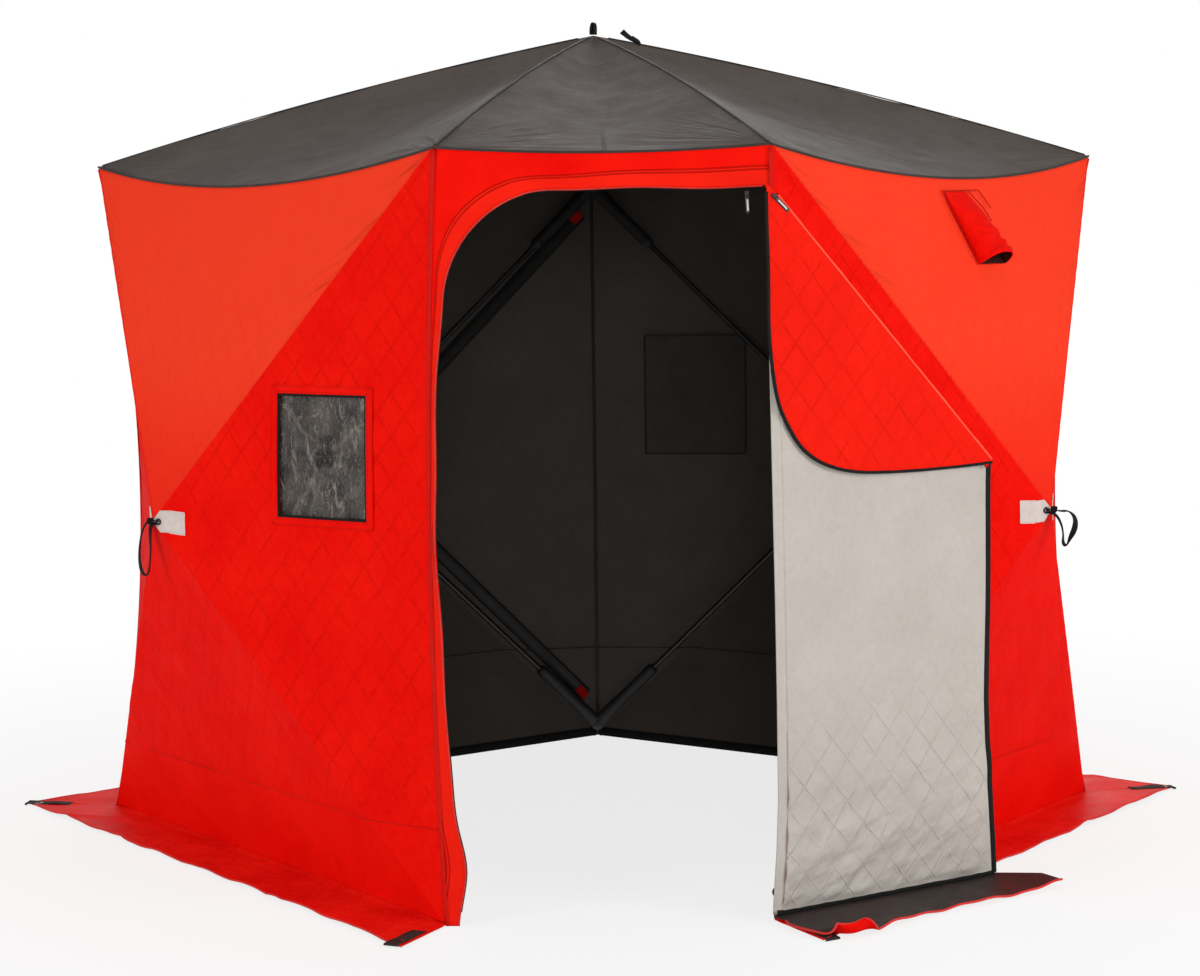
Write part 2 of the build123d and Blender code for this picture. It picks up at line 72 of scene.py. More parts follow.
def unit(v):
    """Vectors scaled to length 1, one vector or rows of them."""
    v = np.asarray(v, float)
    return v / np.maximum(np.linalg.norm(v, axis=-1, keepdims=True), 1e-12)


def middle(node):
    """Middle of a CAD node's box."""
    low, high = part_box(node)
    return (np.array(low) + np.array(high)) / 2


def smooth(x):
    """Smooth step from 0 to 1."""
    x = np.clip(x, 0, 1)
    return x * x * (3 - 2 * x)


def bell(x, width):
    """A smooth bump of height 1 round x = 0."""
    return np.exp(-((x / width) ** 2))


def stack(*parts):
    """Arrays of coordinates stacked into an array of points."""
    return np.stack(np.broadcast_arrays(*parts), -1)


def read_table(table, z):
    """A table of (height, value) pairs read at a height."""
    return np.interp(z, *zip(*table))


def arc_lengths(line):
    """Distance along a polyline, at each of its points."""
    return np.concatenate([[0], np.cumsum(np.linalg.norm(np.diff(line, axis=0), axis=1))])


def resample(line, step):
    """Points spaced evenly along a polyline, about a step apart."""
    line = np.asarray(line, float)
    lengths = arc_lengths(line)
    at = np.linspace(0, lengths[-1], max(2, int(round(lengths[-1] / step)) + 1))
    return np.stack([np.interp(at, lengths, values) for values in line.T], 1)


def smooth_line(points, rounds=3):
    """Rounds a polyline by cutting its corners, its ends kept."""
    points = np.array(points, float)
    for _ in range(rounds):
        a, b = points[:-1], points[1:]
        cut = np.stack([a * 0.75 + b * 0.25, a * 0.25 + b * 0.75], 1).reshape(-1, points.shape[1])
        points = np.concatenate([points[:1], cut, points[-1:]])
    return points


# ---------------------------------------------------------------- making objects
def new_object(name, data):
    """An object in the scene."""
    thing = bpy.data.objects.new(name, data)
    bpy.context.scene.collection.objects.link(thing)
    return thing


def make_object(name, points, faces, materials, body="hut", uv=None, fields=None):
    """A mesh on a body, with a UV in metres and number fields at each of its points."""
    points = np.asarray(points, float)
    mesh = bpy.data.meshes.new(name)
    mesh.from_pydata(points.reshape(-1, 3).tolist(), [], faces)
    mesh.update()
    if uv is not None:
        layer = mesh.uv_layers.new(name="UVMap")
        corner_vertex = np.empty(len(mesh.loops), int)
        mesh.loops.foreach_get("vertex_index", corner_vertex)
        layer.data.foreach_set("uv", uv.reshape(-1, 2)[corner_vertex].ravel())
    for key, values in (fields or {}).items():
        values = np.broadcast_to(values, points.shape[:-1]).ravel()
        mesh.attributes.new(key, "FLOAT", "POINT").data.foreach_set("value", values.astype(np.float32))
    mesh.polygons.foreach_set("use_smooth", [True] * len(mesh.polygons))
    for material in materials:
        mesh.materials.append(material)
    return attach(new_object(name, mesh), body)


def thicken(piece, thickness, rim=0):
    """Gives a sheet its thickness behind its face, with its second material on the back."""
    solid = piece.modifiers.new("thickness", "SOLIDIFY")
    solid.thickness = thickness
    solid.offset = -1
    solid.use_even_offset = False
    solid.material_offset = min(1, len(piece.data.materials) - 1)
    solid.material_offset_rim = rim


def apply_modifiers(piece):
    """Makes a piece's modifiers part of its mesh."""
    bpy.context.view_layer.update()
    evaluated = piece.evaluated_get(bpy.context.evaluated_depsgraph_get())
    mesh = bpy.data.meshes.new_from_object(evaluated)
    piece.modifiers.clear()
    piece.data = mesh


def face_outward(piece, out):
    """Turns a sheet's normals to the side that out points to."""
    total = sum((p.normal * p.area for p in piece.data.polygons), Vector())
    if total.dot(Vector(out)) < 0:
        piece.data.flip_normals()


def mark_sharp(piece, on_line):
    """Keeps the edges between marked vertices sharp, as a fold pulled tight."""
    for edge in piece.data.edges:
        edge.use_edge_sharp = bool(on_line[edge.vertices[0]] and on_line[edge.vertices[1]])


def grid_faces(rows, columns):
    """Quads of a grid whose vertices run row by row."""
    corners = (i * columns + j for i in range(rows - 1) for j in range(columns - 1))
    return [(a, a + 1, a + columns + 1, a + columns) for a in corners]


def make_sheet(name, points, materials, out, thickness, body="hut", uv=None, fields=None):
    """A sheet of cloth on a grid of points: its first material on the side towards out."""
    piece = make_object(name, points, grid_faces(*points.shape[:2]), materials, body, uv, fields)
    face_outward(piece, out)
    thicken(piece, thickness)
    return piece


def grid_normals(points):
    """Unit normals of a grid of points, shape (rows, columns, 3)."""
    return unit(np.cross(np.gradient(points, axis=1), np.gradient(points, axis=0)))


def wrinkle(points, scale, seed, stretch=(1, 1, 1)):
    """Smooth noise from about -1 to 1 at each point, stretched along the axes."""
    shift = Vector((seed * 13.7, seed * 7.3, seed * 3.1))
    flat = points.reshape(-1, 3) * np.array(stretch) / scale
    values = [noise.noise(Vector(p) + shift) for p in flat]
    return np.array(values).reshape(points.shape[:-1])


def join(name, pieces):
    """Joins several pieces on one body into one object."""
    first = pieces[0]
    with bpy.context.temp_override(
        active_object=first, object=first, selected_objects=pieces, selected_editable_objects=pieces
    ):
        bpy.ops.object.join()
    first.name = first.data.name = name
    return first


# ---------------------------------------------------------------- bands, tubes and rings
def tube_faces(rows, ring):
    """Quads of a tube whose vertices run ring by ring, and its two end faces."""
    faces = []
    for start in range(0, (rows - 1) * ring, ring):
        for j in range(ring):
            a, b = start + j, start + (j + 1) % ring
            faces.append((a, b, b + ring, a + ring))
    last = (rows - 1) * ring
    return [*faces, tuple(range(ring))[::-1], tuple(range(last, last + ring))]


def band(name, path, across, width, thickness, material, body="hut", edge=0.3):
    """A flat strip along a path, its edges cut off at an angle. across is its width direction at each
    point or at all of them."""
    tangent = unit(np.gradient(path, axis=0))
    side = np.broadcast_to(across, path.shape)
    side = unit(side - tangent * np.sum(side * tangent, 1, keepdims=True))
    out = np.cross(tangent, side)
    w, h, r = width / 2, thickness / 2, min(thickness * edge, width * 0.45)
    section = np.array([
        (-w, -h + r), (-w, h - r), (-w + r, h), (0, h), (w - r, h),
        (w, h - r), (w, -h + r), (w - r, -h), (0, -h), (-w + r, -h),
    ])
    points = path[:, None] + side[:, None] * section[None, :, :1] + out[:, None] * section[None, :, 1:]
    uv = stack(section[None, :, 0], arc_lengths(path)[:, None])
    return make_object(name, points, tube_faces(*points.shape[:2]), [material], body, uv)


def tube(name, path, radii, material, sides, across=UP):
    """A round closed tube. radii has a row for each point of the path, with one radius or one for each
    side, and across is any direction that the path never takes."""
    tangent = unit(np.gradient(path, axis=0))
    side = unit(np.cross(tangent, across))
    other = np.cross(tangent, side)
    turn = np.linspace(0, math.tau, sides, endpoint=False)
    offset = side[:, None] * np.cos(turn)[None, :, None] + other[:, None] * np.sin(turn)[None, :, None]
    points = path[:, None] + offset * np.broadcast_to(radii, (len(path), sides))[..., None]
    uv = stack(turn[None, :] * radii.mean(), arc_lengths(path)[:, None])
    return make_object(name, points, tube_faces(len(path), sides), [material], uv=uv)


def make_ring(name, centre, axis, radius, thick, material, count=28, sides=10):
    """A closed ring round an axis."""
    first = unit(np.cross(axis, UP))
    second = np.cross(axis, first)
    turn = np.linspace(0, math.tau, count, endpoint=False)[:, None, None]
    small = np.linspace(0, math.tau, sides, endpoint=False)[None, :, None]
    out = first * np.cos(turn) + second * np.sin(turn)
    points = centre + out * (radius + thick * np.cos(small)) + axis * (thick * np.sin(small))
    number = np.arange(count * sides).reshape(count, sides)
    ahead, beside = np.roll(number, -1, 0), np.roll(number, -1, 1)
    faces = stack(number, beside, np.roll(ahead, -1, 1), ahead).reshape(-1, 4).tolist()
    uv = stack(turn[..., 0] * radius, small[..., 0] * thick)
    return make_object(name, points, faces, [material], uv=uv)


# ---------------------------------------------------------------- materials
# the quilting's diamonds and how far the padding puffs out between their stitched lines
QUILT_WIDTH, QUILT_HEIGHT = 0.082, 0.098
QUILT_PUFF = 0.0021


def quilt_puff(u, v):
    """How far the padding puffs out between the stitched lines, from 0 to 1."""
    first = np.abs(np.sin(np.pi * (u / QUILT_WIDTH + v / QUILT_HEIGHT)))
    second = np.abs(np.sin(np.pi * (u / QUILT_WIDTH - v / QUILT_HEIGHT)))
    return np.sqrt(first * second)


class Nodes:
    """Short forms for building the nodes of a material or of the world."""

    def __init__(self, owner):
        owner.use_nodes = True
        self.owner, self.tree = owner, owner.node_tree

    def link(self, out, into):
        self.tree.links.new(out, into)

    def fill(self, node, inputs):
        """Fills a node's inputs, given by name or number, with values or other nodes' outputs."""
        for key, value in inputs.items():
            if isinstance(value, bpy.types.NodeSocket):
                self.link(value, node.inputs[key])
            else:
                node.inputs[key].default_value = value
        return node

    def new(self, kind, inputs=None, **settings):
        node = self.tree.nodes.new("ShaderNode" + kind)
        for key, value in settings.items():
            setattr(node, key, value)
        return self.fill(node, inputs or {})

    def math(self, operation, *values):
        return self.new("Math", dict(enumerate(values)), operation=operation).outputs[0]

    def times(self, first, second):
        return self.math("MULTIPLY", first, second)

    def largest(self, first, *others):
        for other in others:
            first = self.math("MAXIMUM", first, other)
        return first

    def uv(self):
        return self.new("UVMap", uv_map="UVMap").outputs[0]

    def split_uv(self):
        return self.new("SeparateXYZ", {0: self.uv()}).outputs[:2]

    def place(self):
        return self.new("TexCoord").outputs["Object"]

    def field(self, name):
        return self.new("Attribute", attribute_name=name).outputs["Fac"]

    def noise(self, scale, detail=3, roughness=0.55, at=None):
        inputs = {"Scale": scale, "Detail": detail, "Roughness": roughness}
        return self.new("TexNoise", {**inputs, "Vector": at or self.place()}).outputs[0]

    def ramp(self, value, low, high, at):
        """A colour that runs from low to high as value crosses the two stops."""
        node = self.new("ValToRGB", {0: value})
        for stop, colour, place in zip(node.color_ramp.elements, (low, high), at):
            stop.color = (*colour, 1)
            stop.position = place
        return node.outputs[0]

    def span(self, value, low, high, to_low=0.0, to_high=1.0):
        """Maps value from low..high to to_low..to_high, clamped."""
        inputs = {"From Min": low, "From Max": high, "To Min": to_low, "To Max": to_high, "Value": value}
        return self.new("MapRange", inputs).outputs[0]

    def mix(self, share, first, second):
        first, second = ((*c, 1) if isinstance(c, tuple) else c for c in (first, second))
        return self.new("Mix", {0: share, 6: first, 7: second}, data_type="RGBA").outputs[2]

    def bump(self, height, distance, strength, base=None):
        inputs = {"Height": height, "Distance": distance, "Strength": strength}
        return self.new("Bump", {**inputs, **({"Normal": base} if base else {})}).outputs[0]

    def quilt_lines(self, width):
        """1 on the stitched lines of the quilting and 0 between them, from the UV."""
        u, v = self.split_uv()
        across, up = self.math("DIVIDE", u, QUILT_WIDTH), self.math("DIVIDE", v, QUILT_HEIGHT)
        turns = [self.math(way, across, up) for way in ("ADD", "SUBTRACT")]
        away = [self.math("ABSOLUTE", self.math("SINE", self.times(turn, math.pi))) for turn in turns]
        return self.largest(*(self.span(off, 0, width, 1, 0) for off in away))

    def weave(self, across, along):
        """Height of a weave, from the UV and its waves' lengths as turns a metre."""
        turns = zip(self.split_uv(), (across, along))
        return self.times(*(self.math("SINE", self.times(value, rate)) for value, rate in turns))

    def cloth_weave(self, normal, threads=900):
        """A plain weave's bumps on top of a normal."""
        return self.bump(self.weave(threads * math.pi, threads * math.pi), 0.0002, 0.35, normal)

    def finish(self, colour, roughness, normal=None, specular=0.5, **values):
        """Fills the shader. Further values go to the sockets of those names."""
        inputs = {"Base Color": colour, "Roughness": roughness, "Specular IOR Level": specular, **values}
        if normal:
            inputs["Normal"] = normal
        self.fill(self.tree.nodes["Principled BSDF"], inputs)
        return self.owner

    def show_white(self, output, lit, white, share):
        """Shows the white shader in place of the lit one, as far as share says."""
        blend = self.new("MixShader", {0: share, 1: lit.outputs[0], 2: white.outputs[0]})
        self.link(blend.outputs[0], self.tree.nodes[output].inputs[0])


def material_nodes(name):
    """The nodes of a new material."""
    return Nodes(bpy.data.materials.new(name))


def fabric(
    name, dark, light, roughness, crease, specular, sheen=0.0, line=None, groove_shade_share=0.3,
    quilted=False, folded=False, threads=900, painted_highlight=None,
):
    """Woven cloth with soft colour variation and creases. The mesh's fields quilt, fold_zone and the highlight
    field say where it is quilted, pulled into long folds and painted lighter as a highlight, if it is asked to
    be. The line colour is painted shade along the folds and in the quilting's stitched grooves."""
    n = material_nodes(name)
    line = line or dark
    cloud = n.math("ADD", n.times(n.noise(6, 4), 0.6), n.times(n.noise(70, 4), 0.4))
    colour = n.ramp(cloud, dark, light, at=(0.33, 0.67))
    if painted_highlight:
        # painted highlight: the colour is lifted towards the highlight colour as far as the field says
        colour = n.mix(n.field("painted_highlight"), colour, painted_highlight)
    height = n.math("ADD", n.times(n.noise(30, 5, 0.6), crease), n.times(n.noise(240, 2, 0.6), 0.10))
    normal = n.cloth_weave(n.bump(height, 0.004, 0.5), threads)
    if folded:
        at = n.new("CombineXYZ", {0: n.field("fold_along"), 1: n.field("fold_across")}).outputs[0]
        fold = n.times(n.span(n.noise(1.0, 2, 0.5, at), 0.42, 0.70), n.field("fold_zone"))
        normal = n.bump(fold, 0.008, 0.9, normal)
        # painted shade along the folds
        colour = n.mix(n.times(fold, 0.12), colour, line)
    if quilted:
        mask = n.field("quilt")
        broken = n.times(n.span(n.noise(12, 3), 0.36, 0.62, 0.45, 1), mask)
        puckers = n.times(n.times(n.noise(85, 3, 0.6), n.quilt_lines(0.5)), mask)
        normal = n.bump(n.math("SUBTRACT", 1.0, n.times(n.quilt_lines(0.15), broken)), 0.0026, 0.9, normal)
        normal = n.bump(puckers, 0.0036, 0.8, normal)
        # painted shade in the quilting's stitched grooves
        colour = n.mix(n.times(n.times(n.quilt_lines(0.04), broken), groove_shade_share), colour, line)
    worn = n.span(n.noise(16, 3), 0.3, 0.7, roughness - 0.06, roughness + 0.08)
    return n.finish(colour, worn, normal, specular, **{"Sheen Weight": sheen})


def moulded(name, dark, light, roughness, metallic=0.0, grain=90, depth=0.0004):
    """Moulded or metal finish, which needs no UV."""
    n = material_nodes(name)
    colour = n.ramp(n.noise(grain / 4, 3), dark, light, at=(0.35, 0.65))
    shine = n.span(n.noise(grain / 2, 2), 0.3, 0.7, roughness - 0.07, roughness + 0.08)
    return n.finish(colour, shine, n.bump(n.noise(grain, 4), depth, 0.5), Metallic=metallic)


def webbing(name, dark, light, ribs=330):
    """Woven webbing: ribs along it and threads across it, from the UV in metres."""
    n = material_nodes(name)
    height = n.weave(ribs * math.tau, ribs * 0.7 * math.tau)
    colour = n.mix(n.span(height, -1, 1), dark, light)
    normal = n.bump(n.noise(60, 3), 0.001, 0.4, n.bump(height, 0.0006, 0.8))
    return n.finish(colour, n.span(n.noise(90, 2), 0.3, 0.7, 0.6, 0.8), normal, 0.12)


def panel_fabric(name):
    """Plain red with the storm flap's two stitched lines, by the distance away from the doorway; the lines are
    painted shade in their grooves.
    """
    n = material_nodes(name)
    away = n.field("away")
    offs = [n.math("ABSOLUTE", n.math("SUBTRACT", away, place)) for place in (0.036, 0.043)]
    lines = n.largest(*(n.span(off, 0.0008, 0.0024, 1, 0) for off in offs))
    colour = n.ramp(n.noise(7, 4), RED_DARK, RED_LIGHT, at=(0.3, 0.7))
    colour = n.mix(n.span(away, 0.040, 0.046, 0.16, 0), colour, RED_BRIGHT)
    # painted shade in the stitched grooves
    colour = n.mix(n.times(lines, 0.75), colour, RED_GROOVE_SHADE)
    normal = n.bump(n.noise(38, 5, 0.62), 0.004, 0.6)
    normal = n.cloth_weave(n.bump(n.math("SUBTRACT", 1.0, lines), 0.002, 0.9, normal))
    return n.finish(colour, n.span(n.noise(16, 3), 0.3, 0.7, 0.56, 0.7), normal, 0.03)


def vinyl(name):
    """Crumpled clear vinyl over the dark inside: a dark sheet, partly the vinyl's smoky tint and partly painted
    shade of the inside seen through it, with its thin bright creases and rays painted as highlights and its
    middle painted darker as shade.
    """
    n = material_nodes(name)
    creases = []
    for scale, seed, strength in ((22, 0.0, 1), (40, 4.0, 0.7), (75, 9.0, 0.45)):
        stretch = {0: n.uv(), 1: (1.25, 0.42, 1), 2: (seed, seed * 2, 0)}
        at = n.new("VectorMath", stretch, operation="MULTIPLY_ADD")
        inputs = {"Scale": scale, "Detail": 3, "Distortion": 0.9, "Vector": at.outputs[0]}
        texture = n.new("TexNoise", inputs).outputs[0]
        crease = n.span(n.math("ABSOLUTE", n.math("SUBTRACT", texture, 0.5)), 0.0, 0.030, 1, 0)
        creases.append(crease if strength == 1 else n.times(crease, strength))
    light = n.largest(*creases)
    ray = n.field("ray")
    # partly the vinyl's smoky tint, partly painted shade of the inside seen through it
    colour = n.ramp(n.noise(16, 5, 0.65, n.uv()), (0.010, 0.008, 0.006), (0.075, 0.062, 0.052), (0.40, 0.64))
    # painted highlights on the creases
    colour = n.mix(n.times(light, 0.80), colour, (0.22, 0.19, 0.165))
    # painted highlights on the folds' rays
    colour = n.mix(n.times(ray, 0.60), colour, (0.24, 0.205, 0.175))
    # painted shade in the middle
    colour = n.mix(n.field("painted_shade_heart"), colour, (0.010, 0.008, 0.007))
    height = n.math("ADD", n.math("ADD", light, n.noise(30, 5, 0.65, n.uv())), ray)
    shine = n.span(n.noise(30, 3), 0.3, 0.7, 0.18, 0.36)
    coat = {"Coat Weight": 0.10, "Coat Roughness": 0.15}
    return n.finish(colour, shine, n.bump(height, 0.004, 0.8), 0.4, **coat)


RED_DARK, RED_LIGHT = (0.76, 0.0020, 0.0008), (0.87, 0.0075, 0.0020)
# the first of these is painted sheen on the lit upper panels and the folded corner, and also the lighter tone
# of the band inside the door panel's stitched lines; the second is painted shade in stitched grooves and along
# folds
RED_BRIGHT, RED_GROOVE_SHADE = (0.95, 0.060, 0.021), (0.46, 0.003, 0.001)
# each fabric: dark and light colour, roughness, depth of its creases, specular level
red_quilted = fabric(
    "red_quilted", RED_DARK, RED_LIGHT, 0.64, 1.0, 0.03, line=RED_GROOVE_SHADE, groove_shade_share=0.44,
    quilted=True, folded=True, painted_highlight=RED_BRIGHT,
)
red_plain = fabric("red_plain", RED_DARK, RED_LIGHT, 0.64, 1.0, 0.03)
red_panel = panel_fabric("red_panel")
red_skirt = fabric("red_skirt", (0.70, 0.002, 0.001), (0.93, 0.016, 0.007), 0.48, 1.6, 0.10)
red_seam = fabric("red_seam", (0.50, 0.003, 0.001), (0.62, 0.008, 0.003), 0.6, 0.5, 0.1)
hem_red = fabric("hem_red", (0.50, 0.020, 0.015), (0.66, 0.055, 0.042), 0.6, 0.3, 0.1)
hem_bright = fabric("hem_bright", (0.62, 0.02, 0.02), (0.75, 0.05, 0.04), 0.55, 0.3, 0.2)
# the fold's rolled edge is painted lighter as a highlight
fold_painted_highlight = fabric("fold_painted_highlight", RED_DARK, RED_LIGHT, 0.64, 1.0, 0.03, painted_highlight=(0.96, 0.090, 0.050))
# the vent sleeve's inside: red fabric painted near black as shade
vent_inside_shade = fabric("vent_inside_shade", (0.020, 0.004, 0.003), (0.045, 0.006, 0.004), 0.8, 0.6, 0.1)
# its line colour is painted shade along the roof's folds
roof_grey = fabric(
    "roof_grey", (0.078, 0.063, 0.056), (0.106, 0.088, 0.079), 0.62, 0.6, 0.12,
    line=(0.045, 0.038, 0.034), folded=True,
)
roof_seam = fabric("roof_seam", (0.030, 0.025, 0.022), (0.045, 0.038, 0.034), 0.6, 0.5, 0.2)
dark_lining = fabric("dark_lining", (0.098, 0.083, 0.071), (0.124, 0.106, 0.091), 0.7, 0.6, 0.15)
# its line colour is painted shade in the quilting's stitched grooves and along the folds
pale_lining = fabric(
    "pale_lining", (0.455, 0.415, 0.372), (0.53, 0.488, 0.442), 0.5, 0.9, 0.3, 0.03,
    line=(0.26, 0.23, 0.21), quilted=True, folded=True,
)
skirt_dark = fabric("skirt_dark", (0.022, 0.013, 0.012), (0.042, 0.026, 0.023), 0.5, 1.6, 0.25)
seam_dark = fabric("seam_dark", (0.028, 0.024, 0.021), (0.040, 0.034, 0.030), 0.6, 0.4, 0.2)
cover_dark = fabric("cover_dark", (0.060, 0.051, 0.045), (0.078, 0.067, 0.058), 0.65, 0.8, 0.2)
brace_fabric = fabric("brace_fabric", (0.007, 0.006, 0.006), (0.016, 0.014, 0.013), 0.6, 0.9, 0.3)
patch_grey = fabric("patch_grey", (0.56, 0.48, 0.44), (0.70, 0.61, 0.57), 0.5, 1.2, 0.3, 0.05, threads=700)
patch_edge = fabric("patch_edge", (0.72, 0.52, 0.48), (0.82, 0.66, 0.62), 0.5, 0.3, 0.3)
window_vinyl = vinyl("window_vinyl")
black_webbing = webbing("black_webbing", (0.004, 0.004, 0.004), (0.018, 0.017, 0.017))
dark_webbing = webbing("dark_webbing", (0.020, 0.016, 0.014), (0.055, 0.045, 0.040))
red_webbing = webbing("red_webbing", (0.45, 0.004, 0.002), (0.75, 0.01, 0.004))
zip_tape = webbing("zip_tape", (0.006, 0.006, 0.006), (0.02, 0.02, 0.02), 500)
pole_black = moulded("pole_black", (0.006, 0.006, 0.006), (0.016, 0.016, 0.017), 0.4)
hub_black = moulded("hub_black", (0.008, 0.008, 0.008), (0.018, 0.018, 0.019), 0.5, 0, 200)
boot_black = moulded("boot_black", (0.004, 0.004, 0.004), (0.012, 0.011, 0.011), 0.7, 0, 400, 0.001)
pull_white = moulded("pull_white", (0.60, 0.58, 0.56), (0.72, 0.70, 0.68), 0.4, 0, 200)
steel = moulded("steel", (0.50, 0.49, 0.48), (0.66, 0.65, 0.64), 0.3, 1.0, 300, 0.0003)

# ---------------------------------------------------------------- camera
CAMERA_PLACE = (-0.0865, -6.8787, 1.5174)
CAMERA_TURNS = (0.736, 5.4796, -0.6656)
CAMERA_LENS_PER_SENSOR = 2.21575


def make_camera():
    """The camera at the photograph's viewing angle: turned to the side, down, and round its own axis."""
    data = bpy.data.cameras.new("camera")
    data.sensor_width = 36
    data.lens = CAMERA_LENS_PER_SENSOR * data.sensor_width
    yaw, pitch, roll = (math.radians(turn) for turn in CAMERA_TURNS)
    flat = Vector((math.sin(yaw), math.cos(yaw), 0))
    forward = flat * math.cos(pitch) - Vector((0, 0, math.sin(pitch)))
    level_right = Vector((math.cos(yaw), -math.sin(yaw), 0))
    level_up = level_right.cross(forward)
    right = level_right * math.cos(roll) + level_up * math.sin(roll)
    up = level_up * math.cos(roll) - level_right * math.sin(roll)
    camera = new_object("camera", data)
    turned = Matrix((right, up, -forward)).transposed().to_4x4()
    camera.matrix_world = Matrix.Translation(CAMERA_PLACE) @ turned
    bpy.context.scene.camera = camera


make_camera()

# ---------------------------------------------------------------- plan and corner points
ROOF_LOW, ROOF_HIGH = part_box("roof_canopy")
WALL_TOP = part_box("front_left_wall")[1]
EAVE_Z = WALL_TOP.z
ROOF_HUB = vec(0, WALL_TOP.y, ROOF_HIGH.z)
HUB_Z = middle("front_left_hub")[2]
HUB_POP_OUT = 0.28
DOOR_Y = ROOF_LOW.y
HALF_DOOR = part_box("door_header")[1].x
CORNERS = {
    "left_post": vec(-HALF_DOOR, DOOR_Y, 0),
    "left": vec(-ROOF_HIGH.x, ROOF_HUB[1], 0),
    "back": vec(0, ROOF_HIGH.y, 0),
    "right": vec(ROOF_HIGH.x, ROOF_HUB[1], 0),
    "right_post": vec(HALF_DOOR, DOOR_Y, 0),
}
WALLS = {
    "front_left": ("left_post", "left"),
    "back_left": ("left", "back"),
    "back_right": ("back", "right"),
    "front_right": ("right", "right_post"),
}
SIDES = [*WALLS.values(), ("right_post", "left_post")]


def panel_out(start, end):
    """Outward normal of the upright panel between two corners."""
    run = unit(CORNERS[end] - CORNERS[start])
    return vec(-run[1], run[0], 0)


NORMALS = {wall: panel_out(*ends) for wall, ends in WALLS.items()}
HUBS = {
    wall: (CORNERS[start] + CORNERS[end]) / 2 + NORMALS[wall] * HUB_POP_OUT + UP * HUB_Z
    for wall, (start, end) in WALLS.items()
}

# how far the tight fabric draws in or bows between its fixed points
EAVE_SAG, DOOR_EAVE_SAG = 0.066, 0.014
CORNER_WAIST = 0.088
ROOF_DIP, RIDGE_BOW = 0.046, 0.020
# sideways bow of the two door seams towards a wall's hub, by height
LEFT_BOW = (
    (0, 0), (0.2, 0.0115), (0.4, 0.020), (0.6, 0.0255), (0.855, 0.028), (1.1, 0.026), (1.3, 0.0205),
    (1.5, 0.012), (1.705, 0),
)
HINGE_BOW = (
    (0, 0.008), (0.05, 0.011), (0.16, 0.020), (0.27, 0.025), (0.49, 0.023), (0.72, 0.019),
    (0.94, 0.014), (1.25, 0.007), (1.60, 0.001), (1.705, 0),
)
POST_BOWS = {"left_post": ("front_left", LEFT_BOW), "right_post": ("front_right", HINGE_BOW)}
FABRIC = 0.0045


def wall_out(name):
    """Outward normals of the two panels that meet at a corner."""
    return [panel_out(*ends) for ends in SIDES if name in ends]


def mitre(name, distance):
    """The point the same distance outside both panels of a corner."""
    first, second = wall_out(name)
    return CORNERS[name] + (first + second) * distance / (1 + first @ second)


def seam_point(name, t):
    """Points on a corner seam, t from -1 at the ground to 1 at the eave."""
    corner = CORNERS[name]
    height = np.where(t < 0, HUB_Z * (1 + t), HUB_Z + (EAVE_Z - HUB_Z) * t)
    if name in POST_BOWS:
        wall, bows = POST_BOWS[name]
        shift = unit((HUBS[wall] - corner) * (1, 1, 0))
        bow = read_table(bows, height)
    else:
        shift = unit(vec(ROOF_HUB[0], ROOF_HUB[1], 0) - corner) * CORNER_WAIST
        bow = 1 - t * t
    return corner + bow[..., None] * shift + height[..., None] * UP


def eave_point(start, end, t):
    """Points on an eave, t from -1 at its start to 1 at its end."""
    t = t[..., None]
    sag = DOOR_EAVE_SAG if start == "right_post" else EAVE_SAG
    a, b = CORNERS[start], CORNERS[end]
    lean = sag * HUB_POP_OUT / (EAVE_Z - HUB_Z)
    bow = 1 - t * t
    return a + (b - a) * (t + 1) / 2 + UP * (EAVE_Z - sag * bow) + panel_out(start, end) * lean * bow


# ---------------------------------------------------------------- walls
HALF_WIDTH, HALF_HEIGHT = 0.8476, 0.852
WINDOW_FROM_POST, WINDOW_WIDTH = 0.182, 0.262
WINDOW_ABOVE_HUB, WINDOW_HEIGHT = 0.033, 0.276
WINDOW_A = (
    -(1 - WINDOW_FROM_POST / HALF_WIDTH),
    -(1 - (WINDOW_FROM_POST + WINDOW_WIDTH) / HALF_WIDTH),
)
WINDOW_B = (WINDOW_ABOVE_HUB / HALF_HEIGHT, (WINDOW_ABOVE_HUB + WINDOW_HEIGHT) / HALF_HEIGHT)
WINDOW_WALLS = ("front_left", "back_right")
PLAIN_BAND = 0.22
WALL_CELLS = 152


def wall_surface(wall, a, b):
    """Points of a wall: the fabric runs straight from the hub (0, 0) to its edges at -1 and 1."""
    start, end = WALLS[wall]
    hub = HUBS[wall]
    s = np.maximum(np.abs(a), np.abs(b))
    safe = np.maximum(s, 1e-9)
    ta, tb = a / safe, b / safe
    ground = CORNERS[start] + (CORNERS[end] - CORNERS[start]) * ((ta + 1) / 2)[..., None]
    edge = np.where(
        (np.abs(a) >= np.abs(b))[..., None],
        np.where((a < 0)[..., None], seam_point(start, tb), seam_point(end, tb)),
        np.where((b > 0)[..., None], eave_point(start, end, ta), ground),
    )
    return hub + s[..., None] * (edge - hub)


def snapped_steps(cells, marks):
    """Even steps from -1 to 1, with the nearest ones moved onto the marks and their mirrors."""
    steps = np.linspace(-1, 1, cells + 1)
    for mark in marks:
        for value in (mark, -mark):
            steps[np.argmin(np.abs(steps - value))] = value
    return steps


def wall_faces(steps, window):
    """Faces of a wall grid, split along the ridges on its diagonals, with the window left out."""
    faces = []
    cells = len(steps) - 1
    cell_middles = (steps[1:] + steps[:-1]) / 2
    in_a, in_b = ((low < cell_middles) & (cell_middles < high) for low, high in (WINDOW_A, WINDOW_B))
    for i in range(cells):
        for j in range(cells):
            if window and in_b[i] and in_a[j]:
                continue
            p = i * (cells + 1) + j
            q, r, s = p + 1, p + cells + 1, p + cells + 2
            if i == j:
                faces += [(s, q, p), (r, s, p)]
            elif i + j == cells - 1:
                faces += [(r, q, p), (r, s, q)]
            else:
                faces.append((r, s, q, p))
    return faces


